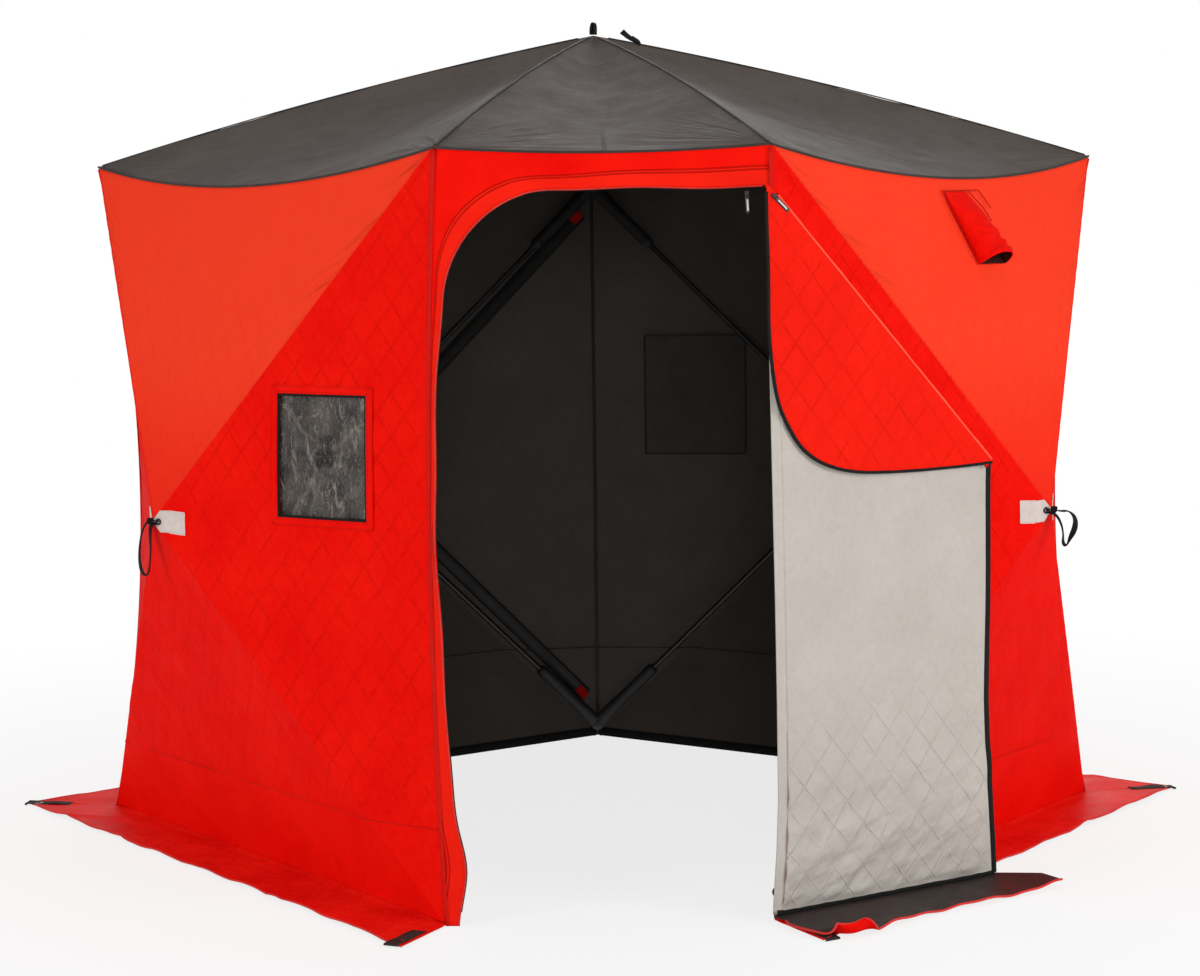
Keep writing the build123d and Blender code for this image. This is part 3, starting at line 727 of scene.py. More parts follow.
def make_wall(wall, number):
    """One wall as a single quilted sheet, stretched from its hub to its edges."""
    steps = snapped_steps(WALL_CELLS, [*WINDOW_A, *WINDOW_B])
    b, a = np.meshgrid(steps, steps, indexing="ij")
    points = wall_surface(wall, a, b)
    u, v = a * HALF_WIDTH, HUB_Z + b * HALF_HEIGHT
    s = np.maximum(np.abs(a), np.abs(b))
    from_ridge = np.abs(np.abs(a) - np.abs(b)) * HALF_HEIGHT
    from_edge = (1 - s) * HALF_HEIGHT
    off_patch = smooth((np.hypot(u, v - HUB_Z) - 0.11) / 0.05)
    upper = b > np.abs(a)
    # the band at the foot is plain, and the upper panel is quilted faintly and only well below the eave
    mask = smooth((v - PLAIN_BAND) / 0.01) * smooth(from_edge / 0.02)
    mask = mask * np.where(upper, 0.55 * smooth((from_edge - 0.13) / 0.25), 1) * off_patch
    calm = smooth(from_ridge / 0.05) * smooth(from_edge / 0.04) * off_patch
    # folds slant down to the eave's ends, along the upper panel's ridges
    near_ridge = bell(from_ridge, 0.075) * smooth((s - 0.45) / 0.25)
    slant = math.radians(18)
    out, rise = np.abs(u), v
    lift = QUILT_PUFF * quilt_puff(u, v) * mask * (0.35 + 0.65 * calm)
    lift += 0.0035 * wrinkle(points, 0.30, number) * calm
    lift += 0.0016 * wrinkle(points, 0.055, number + 9, (1, 1, 0.5)) * calm
    normals = grid_normals(points)
    normals *= np.sign((normals @ NORMALS[wall]).mean())
    piece = make_object(
        f"{wall}_fabric", points + normals * lift[..., None], wall_faces(steps, wall in WINDOW_WALLS),
        [red_quilted, dark_lining], uv=stack(u, v),
        fields={
            "quilt": mask,
            # the upper panels are painted lighter towards the eave as a highlight, for light falling from above
            "painted_highlight": np.where(upper, 0.30 + 0.45 * smooth((v - HUB_Z) / 0.45), 0),
            "fold_zone": np.where(upper, near_ridge, 0) * smooth((1.005 - s) / 0.03),
            "fold_along": (out * math.cos(slant) + rise * math.sin(slant)) / 0.24 + number * 5,
            "fold_across": (rise * math.cos(slant) - out * math.sin(slant)) / 0.034 + 9 * (u > 0),
        },
    )
    mark_sharp(piece, (np.abs(np.abs(a) - np.abs(b)) < 1e-6).ravel())
    thicken(piece, FABRIC)
    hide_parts(f"{wall}_wall")


for number, wall in enumerate(WALLS):
    make_wall(wall, number)

# ---------------------------------------------------------------- roof
ROOF_ROWS, ROOF_COLUMNS = 72, 60


def roof_surface(start, end, s, t):
    """Points of a roof sector: s from the hub to the eave, t along the eave."""
    middle_dip = ROOF_DIP * (1 - np.abs(t) ** 1.6) * s * (1 - s) * 4
    ridge_lift = RIDGE_BOW * (1 - s) * s * 4
    out = s[..., None] * (eave_point(start, end, t) - ROOF_HUB)
    return ROOF_HUB + out + (ridge_lift - middle_dip)[..., None] * UP


def roof_folds(points):
    """Where the roof is pulled into folds: they fan out from the eave's corners."""
    zone, along, across = np.zeros((3, *points.shape[:2]))
    for number, name in enumerate(CORNERS):
        corner = CORNERS[name] + EAVE_Z * UP
        away = (points - corner)[..., :2]
        reach = np.linalg.norm(away, axis=-1)
        inward = unit((ROOF_HUB - corner)[:2])
        turn = np.arctan2(away[..., 0] * inward[1] - away[..., 1] * inward[0], away @ inward)
        near = bell(reach - 0.17, 0.15) * smooth(np.abs(turn) / 0.25)
        here = near > zone
        zone = np.where(here, near, zone)
        along = np.where(here, reach / 0.30 + number * 7, along)
        across = np.where(here, turn * 7.5 + number * 3, across)
    return {"fold_zone": zone, "fold_along": along, "fold_across": across}


def make_roof():
    """The roof sheet in one piece: five sectors with shared ridges, round one point at the hub."""
    s = np.linspace(0, 1, ROOF_ROWS + 1) ** 0.9
    t = np.linspace(-1, 1, ROOF_COLUMNS + 1)[:-1]
    grid = np.meshgrid(s, t, indexing="ij")
    points = np.concatenate([roof_surface(start, end, *grid) for start, end in SIDES], axis=1)
    around = points.shape[1]
    normals = grid_normals(np.concatenate([points, points[:, :1]], axis=1))[:, :-1]
    normals *= np.sign(normals[..., 2:3])
    normals[0] = UP
    lift = 0.0045 * wrinkle(points, 0.22, 31) + 0.0018 * wrinkle(points, 0.06, 32)
    calm = smooth((1 - s) / 0.06)[:, None] * smooth(s / 0.1)[:, None]
    points = points + normals * (lift * calm * np.sqrt(s)[:, None])[..., None]

    def one_hub(values):
        """Values of the grid with its first row, the hub, as a single point."""
        return np.concatenate([values[0, :1], values[1:].reshape(-1, *values.shape[2:])])

    faces = []
    for i in range(ROOF_ROWS):
        for j in range(around):
            c, d = 1 + i * around + (j + 1) % around, 1 + i * around + j
            faces.append((0, c, d) if i == 0 else (d - around, c - around, c, d))
    fields = {key: one_hub(values) for key, values in roof_folds(points).items()}
    ridge = np.zeros(points.shape[:2], bool)
    ridge[:, ::ROOF_COLUMNS] = True
    points = one_hub(points)
    piece = make_object(
        "roof_fabric", points, faces, [roof_grey, dark_lining], uv=points[:, :2], fields=fields
    )
    mark_sharp(piece, one_hub(ridge))
    face_outward(piece, UP)
    thicken(piece, FABRIC)
    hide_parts("roof_canopy")


make_roof()

# ---------------------------------------------------------------- flat door panel round the doorway
DOORWAY_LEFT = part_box("left_door_jamb")[1].x
DOORWAY_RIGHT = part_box("right_door_jamb")[0].x + 0.012
DOORWAY_TOP = EAVE_Z - 0.092
ARCH_RADIUS = 0.235
DOORWAY_BULGE, FOOT_BULGE = 0.036, 0.021
PANEL_ROWS, PANEL_STEP = 13, 0.010
WELT_AWAY, WELT_HEIGHT = 0.040, 0.0022
# the hinge-side jamb lies this far back, behind the door's hinge strip
JAMB_SETBACK = 0.0075


def doorway_outline():
    """The doorway's edge in (x, z), from the left foot round the arch to the right foot."""
    turn = np.linspace(math.pi, math.pi / 2, 30)
    arch_x = DOORWAY_LEFT + ARCH_RADIUS * (1 + np.cos(turn))
    arch_z = DOORWAY_TOP - ARCH_RADIUS * (1 - np.sin(turn))
    left_z = np.linspace(0, arch_z[0], 60)[:-1]
    top_x = np.linspace(arch_x[-1], DOORWAY_RIGHT, 40)[1:]
    right_z = np.linspace(DOORWAY_TOP, 0, 80)[1:]
    x = np.concatenate([
        np.full(len(left_z), DOORWAY_LEFT), arch_x, top_x, np.full(len(right_z), DOORWAY_RIGHT)
    ])
    z = np.concatenate([left_z, arch_z, np.full(len(top_x), DOORWAY_TOP), right_z])
    # the loose left edge bulges outward, and again near its foot
    left_side = smooth((0.1 - x) / 0.3)
    lower, upper = smooth(z / 0.95), smooth((DOORWAY_TOP - z) / 0.62)
    bulge = DOORWAY_BULGE * np.minimum(lower, upper) + 0.003 * np.sin(z * 17) * lower * upper
    x = x - bulge * left_side
    x = x + 0.84 * read_table(HINGE_BOW, z) * smooth((x - 0.25) / 0.1)
    x = x + FOOT_BULGE * bell(z - 0.125, 0.085) * left_side
    z = z + 0.002 * np.sin(x * 21) * (z > DOORWAY_TOP - 0.01)
    return np.stack([x, z], 1)


def panel_points(line, depth=0.0):
    """Points of the door panel's plane, or a depth behind it, from a line of (x, z)."""
    return stack(line[:, 0], DOOR_Y + depth, line[:, 1])


def panel_outer_line(inner):
    """A point on the seams and the eave for each point of the doorway's edge."""
    t = np.linspace(-1, 1, 90)
    left, right = seam_point("left_post", t), seam_point("right_post", t)[::-1]
    eave = eave_point("right_post", "left_post", -np.linspace(-1, 1, 50)[1:-1])
    x, z = inner.T
    corner_left = np.argmin(np.abs(x - (DOORWAY_LEFT + 0.10)) + (z < 1.4) * 9)
    corner_right = np.argmin(np.abs(x - DOORWAY_RIGHT) + np.abs(z - DOORWAY_TOP))
    matched = []
    for line, number in (
        (left, corner_left + 1),
        (np.concatenate([left[-1:], eave, right[:1]]), corner_right - corner_left),
        (right, len(inner) - corner_right - 1),
    ):
        whole = resample(line, arc_lengths(line)[-1] / number)
        matched.append(whole[-number:] if matched else whole[:number])
    return np.concatenate(matched)


def make_door_panel():
    """Header and jambs as one sheet between the doorway and the seams."""
    line = resample(doorway_outline(), PANEL_STEP)
    inner, outer = panel_points(line), panel_outer_line(line)
    share = np.linspace(0, 1, PANEL_ROWS)[:, None, None]
    points = inner * (1 - share) + outer * share
    away = np.linalg.norm(points - inner, axis=-1)
    x, z = points[..., 0], points[..., 2]
    header = smooth((z - 1.35) / 0.2)
    lift = 0.0022 * wrinkle(points, 0.09, 51) * np.sin(np.pi * share[..., 0]) * (0.5 + header)
    setback = JAMB_SETBACK * smooth((x - 0.28) / 0.05) * smooth((1.13 - z) / 0.14)
    points[..., 1] -= lift + bell(away - WELT_AWAY, 0.004) * WELT_HEIGHT
    points[..., 1] += setback
    piece = make_sheet(
        "door_panel_fabric", points, [red_panel, dark_lining], (0, -1, 0), FABRIC,
        uv=points[..., [0, 2]], fields={"away": away},
    )
    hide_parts("door_header", "left_door_jamb", "right_door_jamb")
    return line


def make_doorway_edge(line):
    """Half of the zip, sewn inside the doorway's edge, and the pale turned edge of its fabric."""
    zip_line = line[(line[:, 1] > 0.02) & (line[:, 0] <= DOORWAY_RIGHT - 0.02)]
    path = panel_points(zip_line, FABRIC + 0.001)
    inward = stack(zip_line[:, 0] - 0.01, 0, zip_line[:, 1] - 0.8)
    band("doorway_zip", path, unit(inward), 0.0075, 0.0012, zip_tape)
    path = panel_points(line[line[:, 0] < DOORWAY_RIGHT - 0.01], 0.0015)
    band("doorway_hem", path, vec(0, 1, 0), 0.006, 0.0035, hem_red)


make_doorway_edge(make_door_panel())

# ---------------------------------------------------------------- door: its own plane
JOINTS = {joint["name"]: joint for joint in frame["joints"]}
DOOR_AXIS = vec(*JOINTS["door_swing"]["pos_m"][:2], 0)
FOLD_RUN = -unit(JOINTS["door_top_fold"]["axis"])
FOLD_RUN_ACROSS = float(np.linalg.norm(FOLD_RUN[:2]))
FOLD_SLOPE = -FOLD_RUN[2] / FOLD_RUN_ACROSS
FOLD_COS = math.cos(math.atan(FOLD_SLOPE))
FOLD_TOP = JOINTS["door_top_fold"]["pos_m"][2]
DOOR_RUN = unit(FOLD_RUN * (1, 1, 0))
DOOR_OUT = np.cross(DOOR_RUN, UP)
# depths off the door's plane: the leaf's back and face, and the folded corner's face
LEAF_BACK, LEAF_FRONT, FLAP_FRONT = 0.0063, 0.0113, 0.0255
LEAF_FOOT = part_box("door_leaf")[0].z
LEAF_ROOT = 0.016
# a slanting line just inside the bowed seam, across the hinge strip
TURN_START, TURN_HEIGHT, TURN_SLOPE, TURN_WIDTH = 0.021, 0.27, 0.0158, 0.012
STRIP_REACH = 0.030
# the door's free upright edge: distance from the hinge by height
FREE_EDGE = (
    (0, 0.648), (0.15, 0.636), (0.29, 0.626), (0.43, 0.622), (0.66, 0.625), (0.94, 0.626), (1.60, 0.640),
)
# the folded corner's rounded edge in (distance from the hinge, height)
FLAP_EDGE = (
    (-0.019, 1.601), (-0.017, 1.477), (-0.011, 1.370), (-0.004, 1.262), (0.004, 1.180), (0.018, 1.132),
    (0.042, 1.092), (0.078, 1.043), (0.132, 1.008), (0.215, 0.985), (0.320, 0.979), (0.430, 0.978),
    (0.540, 0.980), (0.625, 0.984),
)
FLAP_LINE = resample(smooth_line(FLAP_EDGE), 0.008)
# how far the folded corner is painted lighter as a highlight
FLAP_PAINTED_HIGHLIGHT = 0.12
# the folded corner's quilting starts this far from the hinge
FLAP_QUILT_SHIFT = 0.02
FOLD_START, FOLD_TAIL = 0.012, 0.022


def door_point(s, z, d):
    """A point by its distance from the hinge, its height and its depth off the door's plane."""
    s, z, d = (values[..., None] for values in np.broadcast_arrays(s, z, d))
    return DOOR_AXIS + s * DOOR_RUN + z * UP + d * DOOR_OUT


def fold_height(s):
    """Height of the slanting fold line at a distance from the hinge."""
    return FOLD_TOP - s * FOLD_SLOPE


def root_line(z):
    """Where the door's fabric leaves the bowed hinge seam."""
    return read_table(HINGE_BOW, z)


def free_line(z):
    """The door's free edge, a little drawn in because nothing stretches it."""
    return read_table(FREE_EDGE, z) + 0.0015 * np.sin(z * 11)


def leaf_wave(s, z):
    """How far the hanging door waves out of its plane, with slanting folds near its foot."""
    across = s / 0.65
    wave = 0.0030 * np.sin(z * 5.1 + 0.6) * across
    wave += 0.0022 * np.sin(across * 5.0 + z * 3.0) * smooth(across / 0.2)
    low = smooth((0.42 - z) / 0.34)
    slope = z - 0.10 - 0.33 * s
    for place, size, width in (
        (0.0, 0.0105, 0.030), (0.085, 0.0085, 0.026), (-0.055, 0.0075, 0.020), (0.150, 0.0045, 0.018)
    ):
        ripple = 0.012 * np.sin(s * 23 + place * 60)
        fold = size * bell(slope - place + ripple, width) * low * smooth(s / 0.08)
        wave += fold * (0.55 + 0.45 * np.sin(s * 13 + place * 40))
    return np.maximum(wave, -0.0030)


def leaf_creases(s, z):
    """Sharp slanting creases where the door's foot is crumpled."""
    slant = math.radians(26)
    along = s * math.cos(slant) + z * math.sin(slant)
    across = z * math.cos(slant) - s * math.sin(slant)
    height = 0
    for length, width, size, seed in ((0.16, 0.050, 0.0050, 71), (0.07, 0.026, 0.0024, 72)):
        noise_at = stack(along / length, across / width, 0)
        height = height + size * np.maximum(0, 1 - 3.2 * np.abs(wrinkle(noise_at, 1, seed))) ** 1.5
    return height * smooth((0.44 - z) / 0.30)


def make_leaf():
    """The door's hanging part, its pale lining outward, between the bowed hinge seam and the fold."""
    v = np.linspace(0, 1, 170)[:, None]
    c = np.linspace(0, 1, 76)[None, :]

    def place_across(z):
        start = root_line(z) + LEAF_ROOT
        return start + (free_line(z) - start) * c

    # the slanting fold makes the height depend on the place across, and the other way round
    s = place_across(LEAF_FOOT + v * (FOLD_TOP - LEAF_FOOT))
    for _ in range(4):
        z = LEAF_FOOT + v * (fold_height(s) - LEAF_FOOT)
        s = place_across(z)
    near_fold = smooth((fold_height(s) - z) / 0.05)
    foot = smooth((z - LEAF_FOOT) / 0.03)
    rim = smooth((free_line(z) - s - 0.006) / 0.03)
    # the quilting is deeper near the foot, where the padding hangs
    puff = (0.0007 + 0.0030 * smooth((0.60 - z) / 0.35)) * quilt_puff(s, z)
    d = LEAF_FRONT + leaf_wave(s, z) * near_fold * (0.3 + 0.7 * foot) \
        + (puff + leaf_creases(s, z)) * near_fold * foot * rim
    quilt = smooth((z - 0.03) / 0.01) * smooth((free_line(z) - s) / 0.02)
    slant = math.radians(24)
    piece = make_sheet(
        "door_leaf_fabric", door_point(s, z, d), [pale_lining, red_quilted], DOOR_OUT, FABRIC, "door",
        uv=stack(s, z),
        fields={
            "quilt": quilt * (0.20 + 0.80 * smooth((0.62 - z) / 0.3)),
            "fold_zone": smooth((0.50 - z) / 0.38) * foot * rim * 0.45,
            "fold_along": (s * math.cos(slant) + z * math.sin(slant)) / 0.14,
            "fold_across": (z * math.cos(slant) - s * math.sin(slant)) / 0.050,
        },
    )
    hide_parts("door_leaf")


def make_hinge_strip():
    """The fabric between the hinge seam and the door, baked in place."""
    z = np.linspace(LEAF_FOOT, fold_height(STRIP_REACH) - 0.004, 150)[:, None]
    start, end = root_line(z) - 0.004, root_line(z) + STRIP_REACH
    s = start + (end - start) * np.linspace(0, 1, 34)[None, :]
    d = LEAF_FRONT - 0.0004 - 0.0072 * (1 - smooth((s - start) / 0.018))
    piece = make_sheet(
        "door_hinge_fabric", door_point(s, z, d), [pale_lining, red_plain], DOOR_OUT, 0.0030, uv=stack(s, z)
    )
    apply_modifiers(piece)
    piece.parent = None
    start = door_point(TURN_START, TURN_HEIGHT, 0)
    across = unit(DOOR_RUN + TURN_SLOPE * UP)
    tuple(start)
    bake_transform(piece)


def flap_depth(s, z):
    """Depth of the flap's red face off the door's plane: it sinks towards the lining."""
    down = (fold_height(s) - z) * FOLD_COS
    fall = 0.0055 * smooth(down / 0.25)
    wave = 0.0026 * np.sin(down * 21 + s * 5) * smooth(down / 0.1)
    wave += 0.0020 * np.sin(z * 23 - s * 9) * smooth(down / 0.1)
    return FLAP_FRONT - fall + wave * 0.8


def make_flap():
    """The door's top corner, folded down to show its red outside, with its bound edge."""
    fold_s = np.linspace(0, 1, len(FLAP_LINE)) * (FLAP_LINE[-1, 0] - FLAP_LINE[0, 0]) + FLAP_LINE[0, 0]
    share = np.linspace(0, 1, 52)[:, None, None]
    sz = stack(fold_s, fold_height(fold_s)) * (1 - share) + FLAP_LINE * share
    s, z = sz[..., 0], sz[..., 1]
    edge = np.linalg.norm(sz - FLAP_LINE[None], axis=-1)
    mask = smooth((fold_height(s) - z) * FOLD_COS / 0.03) * smooth(edge / 0.012)
    d = flap_depth(s, z) + 0.0022 * quilt_puff(s + FLAP_QUILT_SHIFT, z) * mask
    piece = make_sheet(
        "door_flap_fabric", door_point(s, z, d), [red_quilted, pale_lining], DOOR_OUT, FABRIC, "door_top",
        uv=stack(s + FLAP_QUILT_SHIFT, z), fields={"quilt": mask, "painted_highlight": FLAP_PAINTED_HIGHLIGHT},
    )
    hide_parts("door_top_flap")
    edge_path = door_point(*FLAP_LINE.T, flap_depth(*FLAP_LINE.T) - FABRIC / 2)
    binding = band("flap_binding", edge_path, DOOR_OUT, 0.0080, 0.008, black_webbing, "door_top")


def make_fold():
    """The rolled fold between the door and its folded top corner, with a flat tail down each side."""
    centre, radius = (LEAF_BACK + FLAP_FRONT) / 2, (FLAP_FRONT - LEAF_BACK) / 2 - 0.0004
    turn = np.linspace(-math.pi / 2, math.pi / 2, 15)
    tail = np.linspace(0, FOLD_TAIL, 5)[1:]
    down = np.concatenate([tail[::-1], -radius * np.cos(turn), tail])
    flat = np.zeros(len(tail))
    depth = centre + radius * np.concatenate([flat - 1, np.sin(turn), flat + 1])
    along = np.linspace(FOLD_START, (FLAP_LINE[-1, 0] - 0.001) / FOLD_RUN_ACROSS - 0.001, 96)[:, None]
    wave = 1 + 0.05 * np.sin(along * 31) + 0.04 * np.sin(along * 77 + 1)
    across = np.cross(DOOR_OUT, FOLD_RUN)
    across = across * -np.sign(across[2])
    origin = door_point(0.001, fold_height(0.001), 0)
    points = (
        origin + along[..., None] * FOLD_RUN
        + (down * np.where(down < 0, wave, 1))[..., None] * across + depth[:, None] * DOOR_OUT
    )
    # the roll is painted lighter as a highlight where it turns
    piece = make_object(
        "door_fold_fabric", points, grid_faces(*points.shape[:2]), [fold_painted_highlight, pale_lining, black_webbing],
        "door", stack(along, down + depth), {"painted_highlight": smooth((0.003 - down) / 0.006)},
    )
    face_outward(piece, -across)
    thicken(piece, 0.0035, rim=2)
    apply_modifiers(piece)
    piece.parent = None
    start, end = (door_point(0.3, 1.2, d) for d in (LEAF_FRONT, FLAP_FRONT - 0.004))
    tuple(start)
    tuple(end)
    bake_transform(piece)


def make_door_bindings():
    """The tape along the door's free edge and the hem along its foot."""
    z = np.linspace(LEAF_FOOT + 0.004, fold_height(free_line(1.0)) + 0.001, 120)
    s = free_line(z)
    d = LEAF_FRONT + leaf_wave(s, z) - FABRIC / 2
    tape = band("door_edge_tape", door_point(s + 0.001, z, d), DOOR_RUN, 0.016, 0.0095, zip_tape, "door")
    s = np.linspace(root_line(LEAF_FOOT) + 0.004, free_line(LEAF_FOOT), 90)
    z = LEAF_FOOT + 0.003
    d = LEAF_FRONT + leaf_wave(s, z) * 0.3 - FABRIC / 2
    hem = band("door_foot_hem", door_point(s, z, d), UP, 0.013, 0.0095, black_webbing, "door")


# the door skirt's outline on the ground in (distance from the hinge, depth off the door's plane)
DOOR_SKIRT_NEAR, DOOR_SKIRT_FAR = 0.004, 0.655
DOOR_SKIRT_TIP = (0.735, 0.146)
DOOR_SKIRT_OUTLINE = (
    (DOOR_SKIRT_NEAR, 0.050), (-0.014, 0.085), (-0.008, 0.140), (0.002, 0.192), (0.026, 0.234),
    (0.072, 0.240), (0.142, 0.206), (0.220, 0.180), (0.377, 0.164), (0.527, 0.164), (0.680, 0.152),
    DOOR_SKIRT_TIP,
)
CURL_WIDTH, CURL_RADIUS, CURL_ANGLE = 0.045, 0.0135, 3.3


def make_door_skirt():
    """The door's ground skirt: dark side up, a red hem, its near corner curled up."""
    outline = resample(smooth_line(DOOR_SKIRT_OUTLINE), 0.008)
    # its inner edge runs along the door's foot, then on to the tip of its far corner
    t = np.linspace(0, 1, len(outline)) * 1.14
    beyond = np.maximum(t - 1, 0) / 0.14
    inner_s = DOOR_SKIRT_NEAR + (DOOR_SKIRT_FAR - DOOR_SKIRT_NEAR) * np.minimum(1, t)
    inner_s = inner_s + beyond * (DOOR_SKIRT_TIP[0] - DOOR_SKIRT_FAR - 0.012)
    share = np.linspace(0, 1, 30)[:, None, None]
    sd = stack(inner_s, LEAF_BACK + beyond * 0.085) * (1 - share) + outline * share
    s, d, out = sd[..., 0], sd[..., 1], share[..., 0]
    z = 0.0148 - 0.0045 * out + 0.0022 * np.sin(s * 26 + d * 12) * out + 0.0015 * np.sin(s * 61 + 2) * out
    z += 0.010 * smooth((s - 0.60) / 0.16) * (1 - out * 0.5)
    edge = np.linalg.norm(sd - outline[None], axis=-1)
    curl = smooth((s + 0.004) / 0.03) * smooth((0.140 - s) / 0.05) * smooth((d - 0.12) / 0.05)
    roll = np.clip(1 - edge / CURL_WIDTH, 0, 1) * curl
    angle = roll * CURL_ANGLE
    z = z + CURL_RADIUS * (1 - np.cos(angle))
    d = d + (CURL_RADIUS * np.sin(angle) - CURL_WIDTH * roll * 0.55) * 0.8
    piece = make_sheet(
        "door_skirt_fabric", door_point(s, z, d), [skirt_dark, red_plain], UP, 0.0022, "door", uv=stack(s, d)
    )
    hem = band("door_skirt_hem", door_point(s[-1], z[-1], d[-1]), UP, 0.0050, 0.0050, hem_bright, "door")
    anchor = tuple(door_point(0, 0, 0))
    for part in (piece, hem):
        apply_modifiers(part)
        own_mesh(part)
    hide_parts("door_skirt")


make_leaf()
make_hinge_strip()
make_flap()
make_fold()
make_door_bindings()
make_door_skirt()

# ---------------------------------------------------------------- ground skirts and anchor straps
SKIRT_WIDTH = 0.175


def make_skirt(wall, number):
    """A wall's ground skirt, mitred at the corners, with a bound edge."""
    start, end = WALLS[wall]
    t = np.linspace(0, 1, 156)[None, :, None]
    w = np.linspace(0, 1, 24)[:, None, None]
    inner = CORNERS[start] * (1 - t) + CORNERS[end] * t
    outer = mitre(start, SKIRT_WIDTH) * (1 - t) + mitre(end, SKIRT_WIDTH) * t
    points = inner * (1 - w) + outer * w
    t, w = t[..., 0], w[..., 0]
    along = t * 1.6
    ends = smooth(t / 0.08) * smooth((1 - t) / 0.08)
    crease = 0.0035 * wrinkle(points, 0.13, 70 + number) + 0.0016 * wrinkle(points, 0.045, 80 + number)
    rise = 0.008 * bell(w, 0.10) + 0.0042 * smooth(w / 0.3)
    z = 0.0030 + rise * (0.35 + 0.65 * ends) + (crease + 0.002) * smooth(w / 0.2) * (0.25 + 0.75 * ends)
    for place, size in ((0.24, 0.010), (0.66, 0.006), (0.83, 0.008)):
        z = z + size * bell(t - place - 0.05 * w, 0.012) * smooth(w / 0.5) * 0.5
    points = points + np.maximum(z, 0.0028)[..., None] * UP
    points = points + (0.004 * np.sin(along * 31 + number) * w)[..., None] * NORMALS[wall]
    piece = make_sheet(
        f"{wall}_skirt_fabric", points, [red_skirt, skirt_dark], UP, 0.0022, uv=stack(along, w * SKIRT_WIDTH)
    )
    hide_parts(f"{wall}_skirt")
    hem = band(f"{wall}_skirt_hem", points[-1, ::2] - 0.001 * UP, UP, 0.0042, 0.0042, hem_bright)


def strap_blocks():
    """Middle, long direction and sizes of the blocks that are the CAD's straps, one near each corner."""
    points = np.array([v.co for v in frame["nodes"]["anchor_straps"].data.vertices], float)
    corners = np.array(list(CORNERS.values()))[::-1]
    nearest = np.linalg.norm(points[:, None] - corners, axis=-1).argmin(1)
    for number in range(len(corners)):
        part = np.unique(np.round(points[nearest == number], 6), axis=0)
        _, _, axes = np.linalg.svd(part - part.mean(0), full_matrices=False)
        low, high = (part @ axes.T).min(0), (part @ axes.T).max(0)
        yield (low + high) / 2 @ axes, axes[0], high - low


def make_straps():
    """Anchor straps: two layers of webbing folded round the skirt's corner."""
    pieces = []
    t = np.linspace(-0.5, 0.5, 40)[:, None]
    for number, (centre, run, (length, width, _)) in enumerate(strap_blocks()):
        run = run * np.sign(run @ centre)
        path = centre + t * length * run + (0.0010 + 0.0012 * np.sin(t * 9 + number)) * UP
        across = unit(np.cross(UP, run) + 0.05 * np.sin(t * 7 + number) * UP)
        pieces.append(band(f"strap{number}", path, across, width * 0.9, 0.0022, dark_webbing))
        last, end = path[-1], path[-1] + run * 0.004
        curve = smooth_line([last, end - UP * 0.0012, end - UP * 0.0032, last - UP * 0.0044], 2)
        pieces.append(band(f"fold{number}", curve, across[0], width * 0.9, 0.0020, dark_webbing))
    straps = join("anchor_webbing", pieces)
    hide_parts("anchor_straps")


for number, wall in enumerate(WALLS):
    make_skirt(wall, number)
make_straps()


# ---------------------------------------------------------------- pieces that lie on the walls
def wall_normal(wall, a, b):
    """Outward unit normals of a wall's surface."""
    step = 1e-3
    here = wall_surface(wall, a, b)
    across = wall_surface(wall, a + step, b) - here
    normals = unit(np.cross(across, wall_surface(wall, a, b + step) - here))
    return normals * np.sign(normals @ NORMALS[wall])[..., None]


def on_wall(wall, a, b, offset):
    """Points of a wall's surface, moved outward by the offset."""
    a, b, offset = np.broadcast_arrays(*(np.asarray(values, float) for values in (a, b, offset)))
    return wall_surface(wall, a, b) + wall_normal(wall, a, b) * offset[..., None]


def wall_band(name, wall, line, width, thickness, material, offset, count):
    """A band along a line of (a, b) points on a wall, with count steps over the wall's width."""
    a, b = resample(line, 2.0 / count).T
    path = on_wall(wall, a, b, offset)
    across = np.cross(wall_normal(wall, a, b), unit(np.gradient(path, axis=0)))
    return band(name, path, across, width, thickness, material)


def window_frame(name, wall, out, width, thickness, material, offset):
    """Four bands round the window of a wall, their middle lines a distance outside it."""
    a0, a1 = WINDOW_A[0] - out / HALF_WIDTH, WINDOW_A[1] + out / HALF_WIDTH
    b0, b1 = WINDOW_B[0] - out / HALF_HEIGHT, WINDOW_B[1] + out / HALF_HEIGHT
    da, db = width / 2 / HALF_WIDTH, width / 2 / HALF_HEIGHT
    level = [[(a0 - da, b), (a1 + da, b)] for b in (b0, b1)]
    upright = [[(a, b0 - db), (a, b1 + db)] for a in (a0, a1)]
    return join(name, [
        wall_band(f"{name}{i}", wall, side, width, thickness, material, offset + 0.0002 * (i > 1), 140)
        for i, side in enumerate(level + upright)
    ])


def window_grid(rows, columns, lap, top_lap):
    """The (a, b) of a grid over a wall's window, lapping over its edges."""
    a = np.linspace(WINDOW_A[0] - lap / HALF_WIDTH, WINDOW_A[1] + lap / HALF_WIDTH, columns)
    b = np.linspace(WINDOW_B[0] - lap / HALF_HEIGHT, WINDOW_B[1] + top_lap / HALF_HEIGHT, rows)
    return np.meshgrid(b, a, indexing="ij")[::-1]


